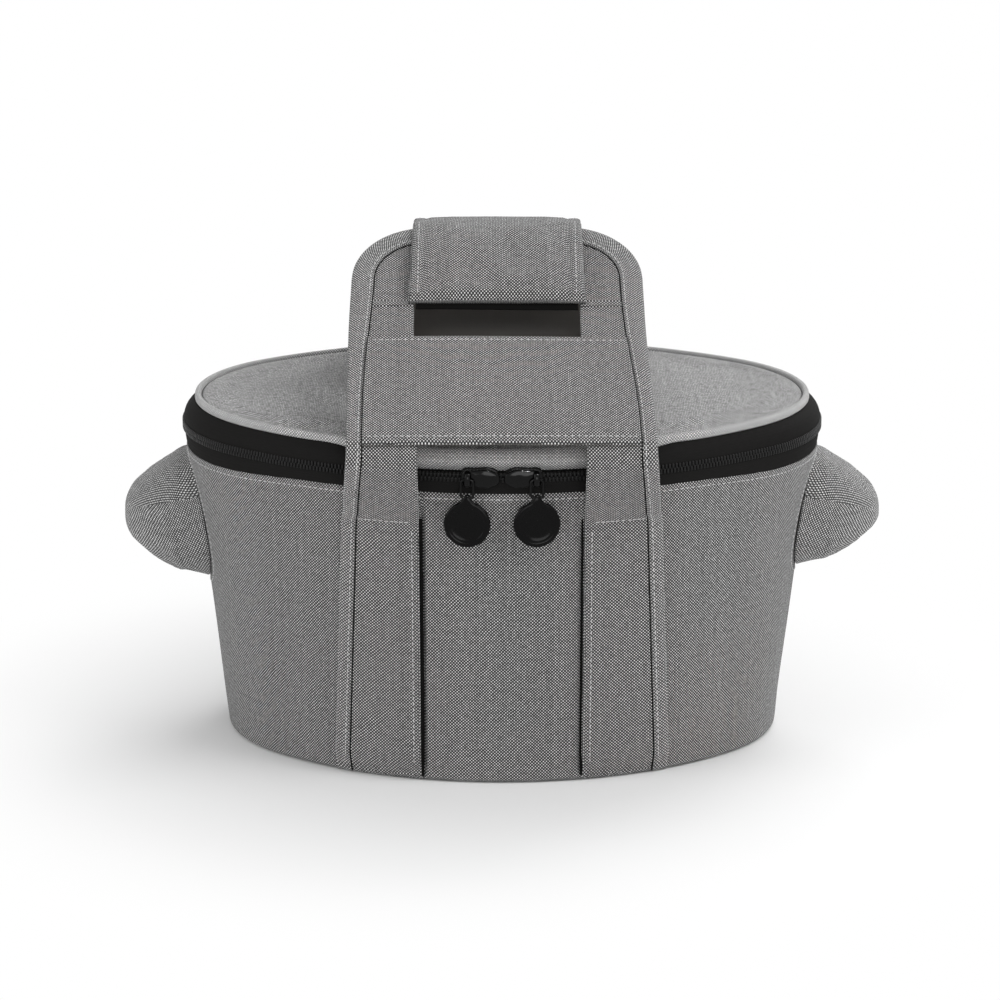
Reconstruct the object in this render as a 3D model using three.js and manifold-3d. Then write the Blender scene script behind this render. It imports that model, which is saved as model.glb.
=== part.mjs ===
// Padded oval carrier for a casserole: a zipped tub with side pockets for the pot's ears,
// a lid that folds up at the back, and two carrying handles that meet under a padded wrap.
// Millimetres, +Z up, front towards -Y, origin at the middle of the base.

import * as THREE from 'three';
import { mergeVertices } from 'three/addons/utils/BufferGeometryUtils.js';
import Module from 'manifold-3d';

// Space between pieces that lie on each other
const clearance = 0.3;

// Oval of the zip, seen from above: four arcs that run smoothly into each other
const zipHalfLength = 172;
const zipHalfDepth = 134;
const zipEndRadius = 108;
const frontSteps = 16;
const endSteps = 12;

// Tub
const wallHeight = 163;
const wallDraft = 21;
const wallThickness = 2;
const wallFoamThickness = 5;
const liningThickness = 1;
const baseThickness = 2.5;
const baseEdgeInset = 2;
const baseBoardThickness = 1.5;
const baseFoamThickness = 5;

// Zip band between the wall and the lid
const bandHeight = 21;
const chainRise = 9;
const chainGap = 1;
const coilHeight = 1.8;
const coilDepth = 3;
const tapeThickness = 1.2;
const tapeSetback = 0.4;
const bandKnee = 6;
const bandLean = 5;

// Lid
const borderWidth = 5.5;
const borderHeight = 4;
const borderRounding = 2.2;
const lidClothThickness = 2.2;
const lidDome = 4;
const lidDomeShares = [0, 0.2, 0.45, 0.7];
const lidFoamThickness = 4;
const lidFoamInset = 10;
const lidLiningThickness = 1.2;
const foldLineInset = 29;

// Pockets for the pot's ears
const earReach = 41;
const earRootHalfWidth = 33;
const earRootHalfHeight = 35;
const earTipHalfWidth = 16;
const earTipHalfHeight = 10;
const earWidthTaper = 3;
const earHeightTaper = 1.2;
const earCornerFullness = 0.6;
const earCentreHeight = 121;
const earClothThickness = 3;
const earSteps = 6;
const earSectionPoints = 24;

// Straps: sewn to the wall up to the stitch line, free above it up to the bend of the handle
const strapThickness = 3;
const strapInnerHalf = 42.5;
const strapOuterHalfAtBase = 88;
const strapOuterHalfAtStitch = 82;
const stitchHeight = 150;
const tabBulge = 4;
const strapColumns = 5;
const strapRows = 6;
const bindingThickness = 1;
const bindingWidthLow = 7;
const bindingWidthTop = 11;

// Handles: flat frames that lean together over the lid
const bendStandOff = 15;
const bendRise = 3.8;
const bendRelief = 0.3;
const bindingRelief = 1;
const handleThickness = 3;
const handleHalfAtBend = 79;
const handleHalfAtTop = 77;
const handleCornerRadius = 33;
const handleTopHeight = 275.2;
const handleTopGap = 7;
const rearHandleDrop = 5.5;
const slotHalf = 43.5;
const slotCornerRadius = 4;
const gripBarDepth = 54.7;
const crossPanelHeight = 80;
const crossPanelThickness = 2.5;
const gripPadThickness = 2;
const gripPadMargin = 7;

// Wrap that holds the two grips together, one half on each handle
const wrapHalfLength = 46.5;
const wrapDrop = 60;
const wrapPadding = 5;
const wrapCrown = 2.4;
const wrapCrownShares = [0.92, 0.75, 0.5, 0.25, 0.08];
const wrapEdgeShare = 0.6;
const wrapCap = 4.2;
const hookStripDepth = 22;
const hookStripThickness = 1;

// Sliders and pulls
const sliderLength = 20;
const sliderNoseGap = 2;
const sliderPlateHeight = 11;
const sliderPlateThickness = 1.6;
const sliderWebThickness = 0.5;
const sliderClearance = 0.6;
const bailOffset = 6.5;
const bailSpan = 9;
const bailRise = 4.6;
const bailThickness = 1.4;
const bailWidth = 3.2;
const linkWidth = 8;
const linkLength = 11.5;
const linkWire = 1.5;
const discRadius = 12;
const discThickness = 2.4;
const discDish = 0.7;
const discRimWidth = 2.4;

const clothGrey = 0x7d7c7b;
const paleClothGrey = 0x999593;
const paddingGrey = 0xb8b8b4;
const liningGrey = 0x55524f;
const zipBlack = 0x161515;

// Arcs of the zip oval
const endCentre = zipHalfLength - zipEndRadius;
const frontRadius =
  (endCentre ** 2 + zipHalfDepth ** 2 - zipEndRadius ** 2) / (2 * (zipHalfDepth - zipEndRadius));
const frontCentre = frontRadius - zipHalfDepth;
const frontHalfAngle = Math.atan2(endCentre, frontCentre);

// Levels of the zip and the lid
const bandTop = wallHeight + bandHeight;
const chainHeight = wallHeight + chainRise;
const lidTop = bandTop + borderHeight;
const foldLine = zipHalfDepth - foldLineInset;

// Line of the handles, seen from the side: from the bend at the zip to the top under the wrap
const bendDepth = zipHalfDepth + bendStandOff;
const bendHeight = bandTop + bendRise;
const handleRun = bendDepth - handleTopGap;
const handleLift = handleTopHeight - bendHeight;
const handleLength = Math.hypot(handleRun, handleLift);
const handleSlope = Math.atan2(handleLift, handleRun);

const wasm = await Module();
wasm.setup();

const lerp = THREE.MathUtils.lerp;

// Turn a closed mesh so that its faces point outwards
function facingOut(geometry) {
  const points = geometry.attributes.position;
  const index = geometry.index.array;
  const corners = [new THREE.Vector3(), new THREE.Vector3(), new THREE.Vector3()];
  let volume = 0;
  for (let i = 0; i < index.length; i += 3) {
    corners.forEach((corner, k) => corner.fromBufferAttribute(points, index[i + k]));
    volume += corners[0].dot(corners[1].cross(corners[2]));
  }
  if (volume < 0) {
    index.reverse();
  }
  return geometry;
}

function meshGeometry(points, faces) {
  const geometry = new THREE.BufferGeometry();
  geometry.setAttribute('position', new THREE.Float32BufferAttribute(points.flat(), 3));
  geometry.setIndex(faces);
  return facingOut(geometry);
}

function toSolid(geometry) {
  const bare = geometry.clone();
  bare.deleteAttribute('normal');
  bare.deleteAttribute('uv');
  const merged = mergeVertices(bare, 1e-3);
  return new wasm.Manifold(new wasm.Mesh({
    numProp: 3,
    vertProperties: new Float32Array(merged.attributes.position.array),
    triVerts: new Uint32Array(merged.index.array),
  }));
}

function toGeometry(solid) {
  const mesh = solid.getMesh();
  const geometry = new THREE.BufferGeometry();
  geometry.setAttribute('position', new THREE.BufferAttribute(mesh.vertProperties, 3));
  geometry.setIndex(new THREE.BufferAttribute(mesh.triVerts, 1));
  return geometry;
}

function subtract(geometry, ...cutters) {
  return toGeometry(cutters.reduce((solid, cutter) => solid.subtract(toSolid(cutter)), toSolid(geometry)));
}

function unite(first, ...others) {
  return toGeometry(others.reduce((solid, other) => solid.add(toSolid(other)), toSolid(first)));
}

// Stations round the zip oval, each with its outward direction
function ovalStations() {
  const stations = [];
  const addArc = (x, y, radius, from, to, steps) => {
    for (let i = 0; i < steps; i += 1) {
      stations.push({ x, y, radius, angle: lerp(from, to, i / steps) });
    }
  };
  const quarter = Math.PI / 2;
  addArc(0, frontCentre, frontRadius, -quarter - frontHalfAngle, -quarter + frontHalfAngle, frontSteps);
  addArc(endCentre, 0, zipEndRadius, -quarter + frontHalfAngle, quarter - frontHalfAngle, endSteps);
  addArc(0, -frontCentre, frontRadius, quarter - frontHalfAngle, quarter + frontHalfAngle, frontSteps);
  addArc(-endCentre, 0, zipEndRadius, quarter + frontHalfAngle, 3 * quarter - frontHalfAngle, endSteps);
  return stations;
}

function stationPoint(station, [offset, z]) {
  const reach = station.radius + offset;
  return [station.x + reach * Math.cos(station.angle), station.y + reach * Math.sin(station.angle), z];
}

// Sweep a profile of [offset, z] points along stations, closed into a ring or capped at its ends
function sweep(profile, stations, ring) {
  const points = stations.flatMap((station) => profile.map((corner) => stationPoint(station, corner)));
  const size = profile.length;
  const spans = ring ? stations.length : stations.length - 1;
  const faces = [];
  for (let i = 0; i < spans; i += 1) {
    const here = i * size;
    const next = ((i + 1) % stations.length) * size;
    for (let j = 0; j < size; j += 1) {
      const k = (j + 1) % size;
      faces.push(here + j, next + j, next + k, here + j, next + k, here + k);
    }
  }
  if (!ring) {
    const last = (stations.length - 1) * size;
    const flat = profile.map(([offset, z]) => new THREE.Vector2(offset, z));
    for (const [a, b, c] of THREE.ShapeUtils.triangulateShape(flat, [])) {
      const cap = THREE.ShapeUtils.isClockWise(flat) ? [a, b, c] : [a, c, b];
      faces.push(cap[0], cap[2], cap[1], last + cap[0], last + cap[1], last + cap[2]);
    }
  }
  return meshGeometry(points, faces);
}

const ring = (profile) => sweep(profile, ovalStations(), true);

// Ring of upright section between two offsets from the zip oval
const uprightRing = (inner, outer, low, high) =>
  ring([[inner, low], [outer, low], [outer, high], [inner, high]]);

// Closed stack of oval sections, each an [offset, z] pair, from the bottom up
function ovalStack(sections) {
  const stations = ovalStations();
  const count = stations.length;
  const points = sections.flatMap((section) => stations.map((station) => stationPoint(station, section)));
  const faces = [];
  for (let i = 0; i < sections.length - 1; i += 1) {
    for (let j = 0; j < count; j += 1) {
      const k = (j + 1) % count;
      const low = i * count;
      const high = low + count;
      faces.push(low + j, low + k, high + k, low + j, high + k, high + j);
    }
  }
  const bottom = points.push([0, 0, sections[0][1]]) - 1;
  const top = points.push([0, 0, sections.at(-1)[1]]) - 1;
  const lastRow = (sections.length - 1) * count;
  for (let j = 0; j < count; j += 1) {
    const k = (j + 1) % count;
    faces.push(bottom, k, j, top, lastRow + j, lastRow + k);
  }
  return meshGeometry(points, faces);
}

// Closed sheet between two faces, each given by a function of two shares from 0 to 1
function sheet(innerFace, outerFace, columns, rows) {
  const points = [];
  for (const face of [innerFace, outerFace]) {
    for (let i = 0; i <= rows; i += 1) {
      for (let j = 0; j <= columns; j += 1) {
        points.push(face(j / columns, i / rows));
      }
    }
  }
  const wide = columns + 1;
  const outer = wide * (rows + 1);
  const faces = [];
  const addQuad = (a, b, c, d) => faces.push(a, b, c, a, c, d);
  for (let i = 0; i < rows; i += 1) {
    for (let j = 0; j < columns; j += 1) {
      const a = i * wide + j;
      addQuad(a, a + wide, a + wide + 1, a + 1);
      addQuad(outer + a, outer + a + 1, outer + a + wide + 1, outer + a + wide);
    }
  }
  for (let j = 0; j < columns; j += 1) {
    const a = j;
    const b = rows * wide + j;
    addQuad(a, a + 1, outer + a + 1, outer + a);
    addQuad(b + 1, b, outer + b, outer + b + 1);
  }
  for (let i = 0; i < rows; i += 1) {
    const a = i * wide;
    const b = a + columns;
    addQuad(a + wide, a, outer + a, outer + a + wide);
    addQuad(b, b + wide, outer + b + wide, outer + b);
  }
  return meshGeometry(points, faces);
}

// Shape in the plane of a handle, [x, distance from the bend], extruded between two depths
function plate(shape, low, high) {
  const depth = high - low;
  const geometry = new THREE.ExtrudeGeometry(shape, { depth, bevelEnabled: false, curveSegments: 8 });
  return geometry.translate(0, 0, low);
}

// Shape of [distance from the bend, depth] points, extruded across the handle
function bar(corners, halfLength) {
  const shape = new THREE.Shape(corners.map(([along, depth]) => new THREE.Vector2(along, depth)));
  const geometry = new THREE.ExtrudeGeometry(shape, { depth: 2 * halfLength, bevelEnabled: false });
  const across = new THREE.Matrix4().makeBasis(
    new THREE.Vector3(0, 1, 0), new THREE.Vector3(0, 0, 1), new THREE.Vector3(1, 0, 0));
  return geometry.translate(0, 0, -halfLength).applyMatrix4(across);
}

function block(low, high) {
  const size = high.map((value, i) => value - low[i]);
  const middle = high.map((value, i) => (value + low[i]) / 2);
  return new THREE.BoxGeometry(...size).translate(...middle);
}

const carrier = new THREE.Group();

function addPiece(parent, name, geometry, color, roughness = 0.9, metalness = 0) {
  const mesh = new THREE.Mesh(geometry, new THREE.MeshStandardMaterial({ color, roughness, metalness }));
  mesh.name = name;
  parent.add(mesh);
}

// Tub: how far the outside of the wall stands in from the zip oval at a height
const wallOffset = (z) => -wallDraft * (1 - z / wallHeight);

// Sheet that follows the wall between two depths in from its outer face
function wallShell(outerDepth, innerDepth, low, high) {
  return ring([
    [wallOffset(low) - innerDepth, low],
    [wallOffset(low) - outerDepth, low],
    [wallOffset(high) - outerDepth, high],
    [wallOffset(high) - innerDepth, high],
  ]);
}

// Body of a pocket for one of the pot's ears, from inside the tub to its rounded tip
function earBody(side, inset) {
  const rootReach = zipHalfLength + wallOffset(earCentreHeight);
  const inside = rootReach - 3 * wallDraft;
  const points = [];
  const addSection = (x, halfWidth, halfHeight) => {
    for (let i = 0; i < earSectionPoints; i += 1) {
      const turn = (2 * Math.PI * i) / earSectionPoints;
      const rounding = (value) => Math.sign(value) * Math.abs(value) ** earCornerFullness;
      const y = (halfWidth - inset) * rounding(Math.cos(turn));
      const z = earCentreHeight + (halfHeight - inset) * rounding(Math.sin(turn));
      points.push([side * x, y, z]);
    }
  };
  addSection(inside, earRootHalfWidth, earRootHalfHeight);
  for (let i = 0; i <= earSteps; i += 1) {
    const share = i / earSteps;
    const halfWidth = lerp(earRootHalfWidth, earTipHalfWidth, share ** earWidthTaper);
    const halfHeight = lerp(earRootHalfHeight, earTipHalfHeight, share ** earHeightTaper);
    addSection(rootReach + share * (earReach - inset), halfWidth, halfHeight);
  }
  const sections = earSteps + 2;
  const faces = [];
  for (let i = 0; i < sections - 1; i += 1) {
    for (let j = 0; j < earSectionPoints; j += 1) {
      const k = (j + 1) % earSectionPoints;
      const here = i * earSectionPoints;
      const next = here + earSectionPoints;
      faces.push(here + j, here + k, next + k, here + j, next + k, next + j);
    }
  }
  const last = (sections - 1) * earSectionPoints;
  for (let j = 1; j < earSectionPoints - 1; j += 1) {
    faces.push(0, j + 1, j, last, last + j, last + j + 1);
  }
  return meshGeometry(points, faces);
}

const boardBottom = baseThickness + clearance;
const baseFoamBottom = boardBottom + baseBoardThickness + clearance;
const liningBottom = baseFoamBottom + baseFoamThickness + clearance;
const foamDepth = wallThickness + clearance;
const liningDepth = foamDepth + wallFoamThickness + clearance;
const pocketCavities = [earBody(-1, earClothThickness), earBody(1, earClothThickness)];

function addTub() {
  addPiece(carrier, 'base_panel', ovalStack([
    [wallOffset(0) - baseEdgeInset, 0],
    [wallOffset(baseThickness / 2), baseThickness / 2],
    [wallOffset(baseThickness), baseThickness],
  ]), clothGrey);
  const outerWall = wallShell(0, wallThickness, baseThickness + clearance, wallHeight);
  addPiece(carrier, 'outer_wall', subtract(outerWall, ...pocketCavities), clothGrey);
  const boardInset = wallThickness + clearance;
  addPiece(carrier, 'base_board', ovalStack([
    [wallOffset(boardBottom) - boardInset, boardBottom],
    [wallOffset(boardBottom) - boardInset, boardBottom + baseBoardThickness],
  ]), zipBlack);
  addPiece(carrier, 'base_foam', ovalStack([
    [wallOffset(baseFoamBottom) - boardInset, baseFoamBottom],
    [wallOffset(baseFoamBottom) - boardInset, baseFoamBottom + baseFoamThickness],
  ]), paddingGrey);
  const wallFoam = wallShell(foamDepth, foamDepth + wallFoamThickness, liningBottom, wallHeight);
  addPiece(carrier, 'wall_foam', subtract(wallFoam, ...pocketCavities), paddingGrey);
  const liningFloor = liningBottom + liningThickness;
  const liningOutside = ovalStack([
    [wallOffset(liningBottom) - liningDepth, liningBottom],
    [wallOffset(wallHeight) - liningDepth, wallHeight],
  ]);
  const liningInside = ovalStack([
    [wallOffset(liningFloor) - liningDepth - liningThickness, liningFloor],
    [wallOffset(bandTop) - liningDepth - liningThickness, bandTop],
  ]);
  addPiece(carrier, 'lining', subtract(liningOutside, liningInside, ...pocketCavities), liningGrey);
  const tubOutside = ovalStack([
    [wallOffset(0) + clearance, 0],
    [wallOffset(wallHeight) + clearance, wallHeight],
  ]);
  [['left', -1], ['right', 1]].forEach(([sideName, side], i) => {
    const cover = subtract(earBody(side, 0), pocketCavities[i], tubOutside);
    addPiece(carrier, `${sideName}_ear_cover`, cover, clothGrey);
  });
}

// Zip band: tapes and coils stop at the fold line of the lid, where a cloth gusset closes the back
const halfSpace = 2 * zipHalfLength;
const behindFold = block([-halfSpace, foldLine - clearance / 2, 0], [halfSpace, halfSpace, halfSpace]);
const beforeFold = block([-halfSpace, -halfSpace, 0], [halfSpace, foldLine + clearance / 2, halfSpace]);
const lowerCoilTop = chainHeight - chainGap / 2;
const lowerCoilBottom = lowerCoilTop - coilHeight;
const upperCoilBottom = chainHeight + chainGap / 2;
const upperCoilTop = upperCoilBottom + coilHeight;
const tapeOuter = -tapeSetback;
const tapeInner = tapeOuter - tapeThickness;
const coilMiddle = (tapeInner + tapeOuter) / 2;
const coilInner = coilMiddle - coilDepth / 2;
const coilOuter = coilMiddle + coilDepth / 2;

function addZip() {
  const bands = [
    ['lower_zip_tape', tapeInner, tapeOuter, wallHeight + clearance, lowerCoilBottom - clearance],
    ['lower_zip_coil', coilInner, coilOuter, lowerCoilBottom, lowerCoilTop],
    ['upper_zip_coil', coilInner, coilOuter, upperCoilBottom, upperCoilTop],
  ];
  for (const [name, inner, outer, low, high] of bands) {
    addPiece(carrier, name, subtract(uprightRing(inner, outer, low, high), behindFold), zipBlack, 0.6);
  }
  // Upper tape: upright past the sliders, then leaning in to the smaller lid
  const knee = chainHeight + bandKnee;
  const tapeTop = bandTop - clearance;
  const upperTape = ring([
    [tapeInner, upperCoilTop + clearance],
    [tapeOuter, upperCoilTop + clearance],
    [tapeOuter, knee],
    [tapeOuter - bandLean, tapeTop],
    [tapeInner - bandLean, tapeTop],
    [tapeInner, knee],
  ]);
  addPiece(carrier, 'upper_zip_tape', subtract(upperTape, behindFold), zipBlack, 0.6);
  const gusset = ring([
    [-wallThickness, wallHeight + clearance],
    [0, wallHeight + clearance],
    [0, knee],
    [-bandLean, tapeTop],
    [-bandLean - wallThickness, tapeTop],
    [-wallThickness, knee],
  ]);
  addPiece(carrier, 'rear_gusset', subtract(gusset, beforeFold), clothGrey);
}

// Lid: a cloth panel and its sewn border over foam and lining, cut at the fold line
function addLid() {
  const lidEdge = -bandLean;
  const borderInner = lidEdge - borderWidth;
  const border = ring([
    [borderInner, bandTop],
    [lidEdge, bandTop],
    [lidEdge, lidTop - borderRounding],
    [lidEdge - borderRounding, lidTop],
    [borderInner, lidTop],
  ]);
  const panelEdge = borderInner - clearance;
  const panelTop = bandTop + lidClothThickness;
  const domeSections = lidDomeShares.map((share) => {
    const offset = lerp(panelEdge, -zipEndRadius, share);
    return [offset, panelTop + lidDome * (1 - (1 - share) ** 2)];
  });
  const panel = ovalStack([[panelEdge, bandTop], ...domeSections]);
  const foamTop = bandTop - clearance;
  const foamBottom = foamTop - lidFoamThickness;
  const liningTop = foamBottom - clearance;
  const flatLayer = (low, high) => ovalStack([[-lidFoamInset, low], [-lidFoamInset, high]]);
  addPiece(carrier, 'lid_border', subtract(border, behindFold), paleClothGrey);
  addPiece(carrier, 'lid_panel', subtract(panel, behindFold), paleClothGrey);
  addPiece(carrier, 'lid_foam', subtract(flatLayer(foamBottom, foamTop), behindFold), paddingGrey);
  const lining = flatLayer(liningTop - lidLiningThickness, liningTop);
  addPiece(carrier, 'lid_lining', subtract(lining, behindFold), liningGrey);
  const hingePanel = ovalStack([
    [lidEdge, bandTop],
    [lidEdge, lidTop - borderRounding],
    [lidEdge - borderRounding, lidTop],
  ]);
  addPiece(carrier, 'hinge_panel', subtract(hingePanel, beforeFold), paleClothGrey);
}

// Straps: x of the outer edge at a height on the wall
const strapOuterHalf = (z) => lerp(strapOuterHalfAtBase, strapOuterHalfAtStitch, z / stitchHeight);

// Depth of the front wall's outer face, moved out by an offset, at x and a height
const frontWallDepth = (x, z, offset) =>
  Math.sqrt((frontRadius + wallOffset(z) + offset) ** 2 - x ** 2) - frontCentre;

// Sewn part of a strap, or its edge binding, between two offsets from the wall
function sewnStrap(side, innerHalf, near, far) {
  const low = baseThickness + 2 * clearance;
  const high = stitchHeight - clearance;
  const face = (offset) => (across, up) => {
    const z = lerp(low, high, up);
    const x = side * lerp(innerHalf(z), strapOuterHalf(z), across);
    return [x, -frontWallDepth(x, z, offset), z];
  };
  return sheet(face(near), face(far), strapColumns, strapRows);
}

// Free part of a strap, or its binding, between two offsets from its inner face; the drop lowers its bend
function freeStrap(side, innerHalf, near, far, relief, drop) {
  const top = bendHeight - drop - relief;
  const face = (offset) => (across, up) => {
    const z = lerp(stitchHeight, top, up);
    const half = lerp(strapOuterHalfAtStitch, handleHalfAtBend, up);
    const x = side * lerp(innerHalf(half), half, across);
    const wallDepth = frontWallDepth(x, stitchHeight, clearance);
    const depth = lerp(wallDepth, bendDepth, up) + 4 * tabBulge * up * (1 - up);
    return [x, -depth - offset, z];
  };
  return sheet(face(near), face(far), strapColumns, strapRows);
}

const bindingNear = strapThickness + clearance;
const bindingFar = bindingNear + bindingThickness;

function addStraps(group, names, end, drop) {
  [-1, 1].forEach((side, i) => {
    const label = `${end}_${names[i]}`;
    const inner = () => strapInnerHalf;
    const edge = (z) => strapOuterHalf(z) - bindingWidthLow;
    const tabEdge = (half) => half - bindingWidthLow;
    addPiece(group, `${label}_strap`,
      sewnStrap(side, inner, clearance, clearance + strapThickness), clothGrey);
    addPiece(group, `${label}_strap_binding`,
      sewnStrap(side, edge, clearance + bindingNear, clearance + bindingFar), clothGrey);
    addPiece(group, `${label}_tab`, freeStrap(side, inner, 0, strapThickness, bendRelief, drop), clothGrey);
    addPiece(group, `${label}_tab_binding`,
      freeStrap(side, tabEdge, bindingNear, bindingFar, bindingRelief, drop), clothGrey);
  });
}

// Handles: outline of the frame from a start near the bend, drawn in by margins at the bend and the top
function handleOutline(lowMargin, topMargin, start) {
  const shape = new THREE.Shape();
  const top = handleLength - topMargin;
  const radius = handleCornerRadius - topMargin;
  const shoulder = top - radius;
  const lowHalf = handleHalfAtBend - lowMargin;
  const topHalf = handleHalfAtTop - topMargin;
  shape.moveTo(-lowHalf, start);
  shape.lineTo(lowHalf, start);
  shape.lineTo(topHalf, shoulder);
  shape.absarc(topHalf - radius, shoulder, radius, 0, Math.PI / 2);
  shape.absarc(radius - topHalf, shoulder, radius, Math.PI / 2, Math.PI);
  shape.closePath();
  return shape;
}

// Opening between the legs, below the grip
function slotShape() {
  const top = handleLength - gripBarDepth;
  const shape = new THREE.Shape();
  shape.moveTo(-slotHalf, -bendRelief);
  shape.lineTo(slotHalf, -bendRelief);
  shape.lineTo(slotHalf, top - slotCornerRadius);
  shape.absarc(slotHalf - slotCornerRadius, top - slotCornerRadius, slotCornerRadius, 0, Math.PI / 2);
  shape.absarc(slotCornerRadius - slotHalf, top - slotCornerRadius, slotCornerRadius, Math.PI / 2, Math.PI);
  shape.closePath();
  return shape;
}

function rectangle(halfLow, halfHigh, low, high) {
  return new THREE.Shape([
    new THREE.Vector2(-halfLow, low),
    new THREE.Vector2(halfLow, low),
    new THREE.Vector2(halfHigh, high),
    new THREE.Vector2(-halfHigh, high),
  ]);
}

// Point of the side view, depth and height, as distance from the bend and depth in the handle
function inHandle(depth, height) {
  const run = bendDepth - depth;
  const lift = height - bendHeight;
  return [
    run * Math.cos(handleSlope) + lift * Math.sin(handleSlope),
    lift * Math.cos(handleSlope) - run * Math.sin(handleSlope),
  ];
}

const layerNear = handleThickness + clearance;
const layerFar = layerNear + Math.max(bindingThickness, hookStripThickness);
const wrapNear = layerFar + clearance;

// Half of the wrap: padded over the grip, then over the top to the middle
function wrapHalf() {
  const far = wrapNear + wrapPadding;
  const bottom = handleLength - wrapDrop;
  const crest = handleTopHeight + handleThickness + clearance;
  const middle = clearance / 2;
  const along = (share) => lerp(bottom, handleLength, share);
  const crown = (share) => [along(share), far + 4 * wrapCrown * share * (1 - share)];
  return bar([
    [bottom, wrapNear],
    [handleLength + clearance, wrapNear],
    inHandle(middle, crest),
    inHandle(middle, crest + wrapCap),
    inHandle(handleTopGap / 2, crest + wrapCap),
    ...wrapCrownShares.map(crown),
    [bottom, lerp(wrapNear, far, wrapEdgeShare)],
  ], wrapHalfLength);
}

function addHandle(group, end, drop) {
  const plane = new THREE.Group();
  plane.position.set(0, -bendDepth, bendHeight - drop);
  plane.rotation.x = handleSlope;
  group.add(plane);
  const frame = plate(handleOutline(0, 0, bendRelief), 0, handleThickness);
  const slot = plate(slotShape(), -handleThickness, 2 * handleThickness);
  addPiece(plane, `${end}_handle_frame`, subtract(frame, slot), clothGrey);
  const edge = plate(handleOutline(0, 0, bindingRelief), layerNear, layerNear + bindingThickness);
  const inside = handleOutline(bindingWidthLow, bindingWidthTop, -bindingRelief);
  const insideCutter = plate(inside, 0, 2 * wrapNear);
  addPiece(plane, `${end}_handle_binding`, subtract(edge, insideCutter), clothGrey);
  const shoulder = handleLength - handleCornerRadius;
  const panelHalf = (along) => lerp(
    handleHalfAtBend - bindingWidthLow, handleHalfAtTop - bindingWidthTop, along / shoulder) - clearance;
  const panelTop = bindingRelief + crossPanelHeight;
  const panel = rectangle(panelHalf(bindingRelief), panelHalf(panelTop), bindingRelief, panelTop);
  addPiece(plane, `${end}_cross_panel`, plate(panel, layerNear, layerNear + crossPanelThickness), clothGrey);
  const padLow = handleLength - gripBarDepth + gripPadMargin;
  const padHigh = handleLength - gripPadMargin;
  const padHalf = slotHalf - clearance;
  const pad = rectangle(padHalf, padHalf, padLow, padHigh);
  addPiece(plane, `${end}_grip_pad`, plate(pad, -clearance - gripPadThickness, -clearance), paddingGrey);
  const stripLow = handleLength - gripBarDepth;
  const strip = rectangle(slotHalf, slotHalf, stripLow, stripLow + hookStripDepth);
  addPiece(plane, `${end}_hook_strip`, plate(strip, layerNear, layerNear + hookStripThickness), zipBlack);
  addPiece(plane, `${end}_wrap_cover`, wrapHalf(), clothGrey);
}

// Sliders: two plates and a web between the coils, with a bail that holds the link of the pull
const plateOuterNear = coilOuter + sliderClearance;
const plateOuterFar = plateOuterNear + sliderPlateThickness;
const plateInnerNear = coilInner - sliderClearance;
const plateInnerFar = plateInnerNear - sliderPlateThickness;
const bailInside = bailRise - bailThickness;
const linkDepth = plateOuterFar + bailInside / 2;

function sliderBody() {
  const half = sliderPlateHeight / 2;
  const web = sliderWebThickness / 2;
  const profile = [
    [plateInnerFar, -half], [plateInnerNear, -half], [plateInnerNear, -web], [plateOuterNear, -web],
    [plateOuterNear, -half], [plateOuterFar, -half], [plateOuterFar, half], [plateOuterNear, half],
    [plateOuterNear, web], [plateInnerNear, web], [plateInnerNear, half], [plateInnerFar, half],
  ].map(([offset, z]) => [offset, chainHeight + z]);
  const halfAngle = sliderLength / 2 / frontRadius;
  const stations = [-1, -0.5, 0, 0.5, 1].map((share) => (
    { x: 0, y: 0, radius: frontRadius, angle: -Math.PI / 2 + share * halfAngle }));
  return sweep(profile, stations, false);
}

// Bail: an arch on the outer plate, set towards the end that leads when the zip opens
function bail(turn) {
  const arch = new THREE.Shape();
  const half = bailSpan / 2;
  const foot = -sliderPlateThickness / 2;
  arch.moveTo(-half, foot);
  arch.lineTo(-half + bailThickness, foot);
  arch.lineTo(-half + bailThickness, bailInside);
  arch.lineTo(half - bailThickness, bailInside);
  arch.lineTo(half - bailThickness, foot);
  arch.lineTo(half, foot);
  arch.lineTo(half, bailRise - bailThickness / 2);
  arch.lineTo(half - bailThickness / 2, bailRise);
  arch.lineTo(bailThickness / 2 - half, bailRise);
  arch.lineTo(-half, bailRise - bailThickness / 2);
  arch.closePath();
  const geometry = new THREE.ExtrudeGeometry(arch, { depth: bailWidth, bevelEnabled: false });
  const upright = new THREE.Matrix4().makeBasis(
    new THREE.Vector3(0, 0, 1), new THREE.Vector3(0, -1, 0), new THREE.Vector3(1, 0, 0));
  return geometry.translate(0, 0, -bailWidth / 2).applyMatrix4(upright)
    .translate(0, -frontRadius - plateOuterFar, chainHeight).rotateZ(turn);
}

function roundedRectangle(path, halfWide, low, high, radius) {
  path.moveTo(-halfWide, low + radius);
  path.absarc(-halfWide + radius, low + radius, radius, Math.PI, 1.5 * Math.PI);
  path.absarc(halfWide - radius, low + radius, radius, 1.5 * Math.PI, 2 * Math.PI);
  path.absarc(halfWide - radius, high - radius, radius, 0, 0.5 * Math.PI);
  path.absarc(-halfWide + radius, high - radius, radius, 0.5 * Math.PI, Math.PI);
  path.closePath();
  return path;
}

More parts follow.
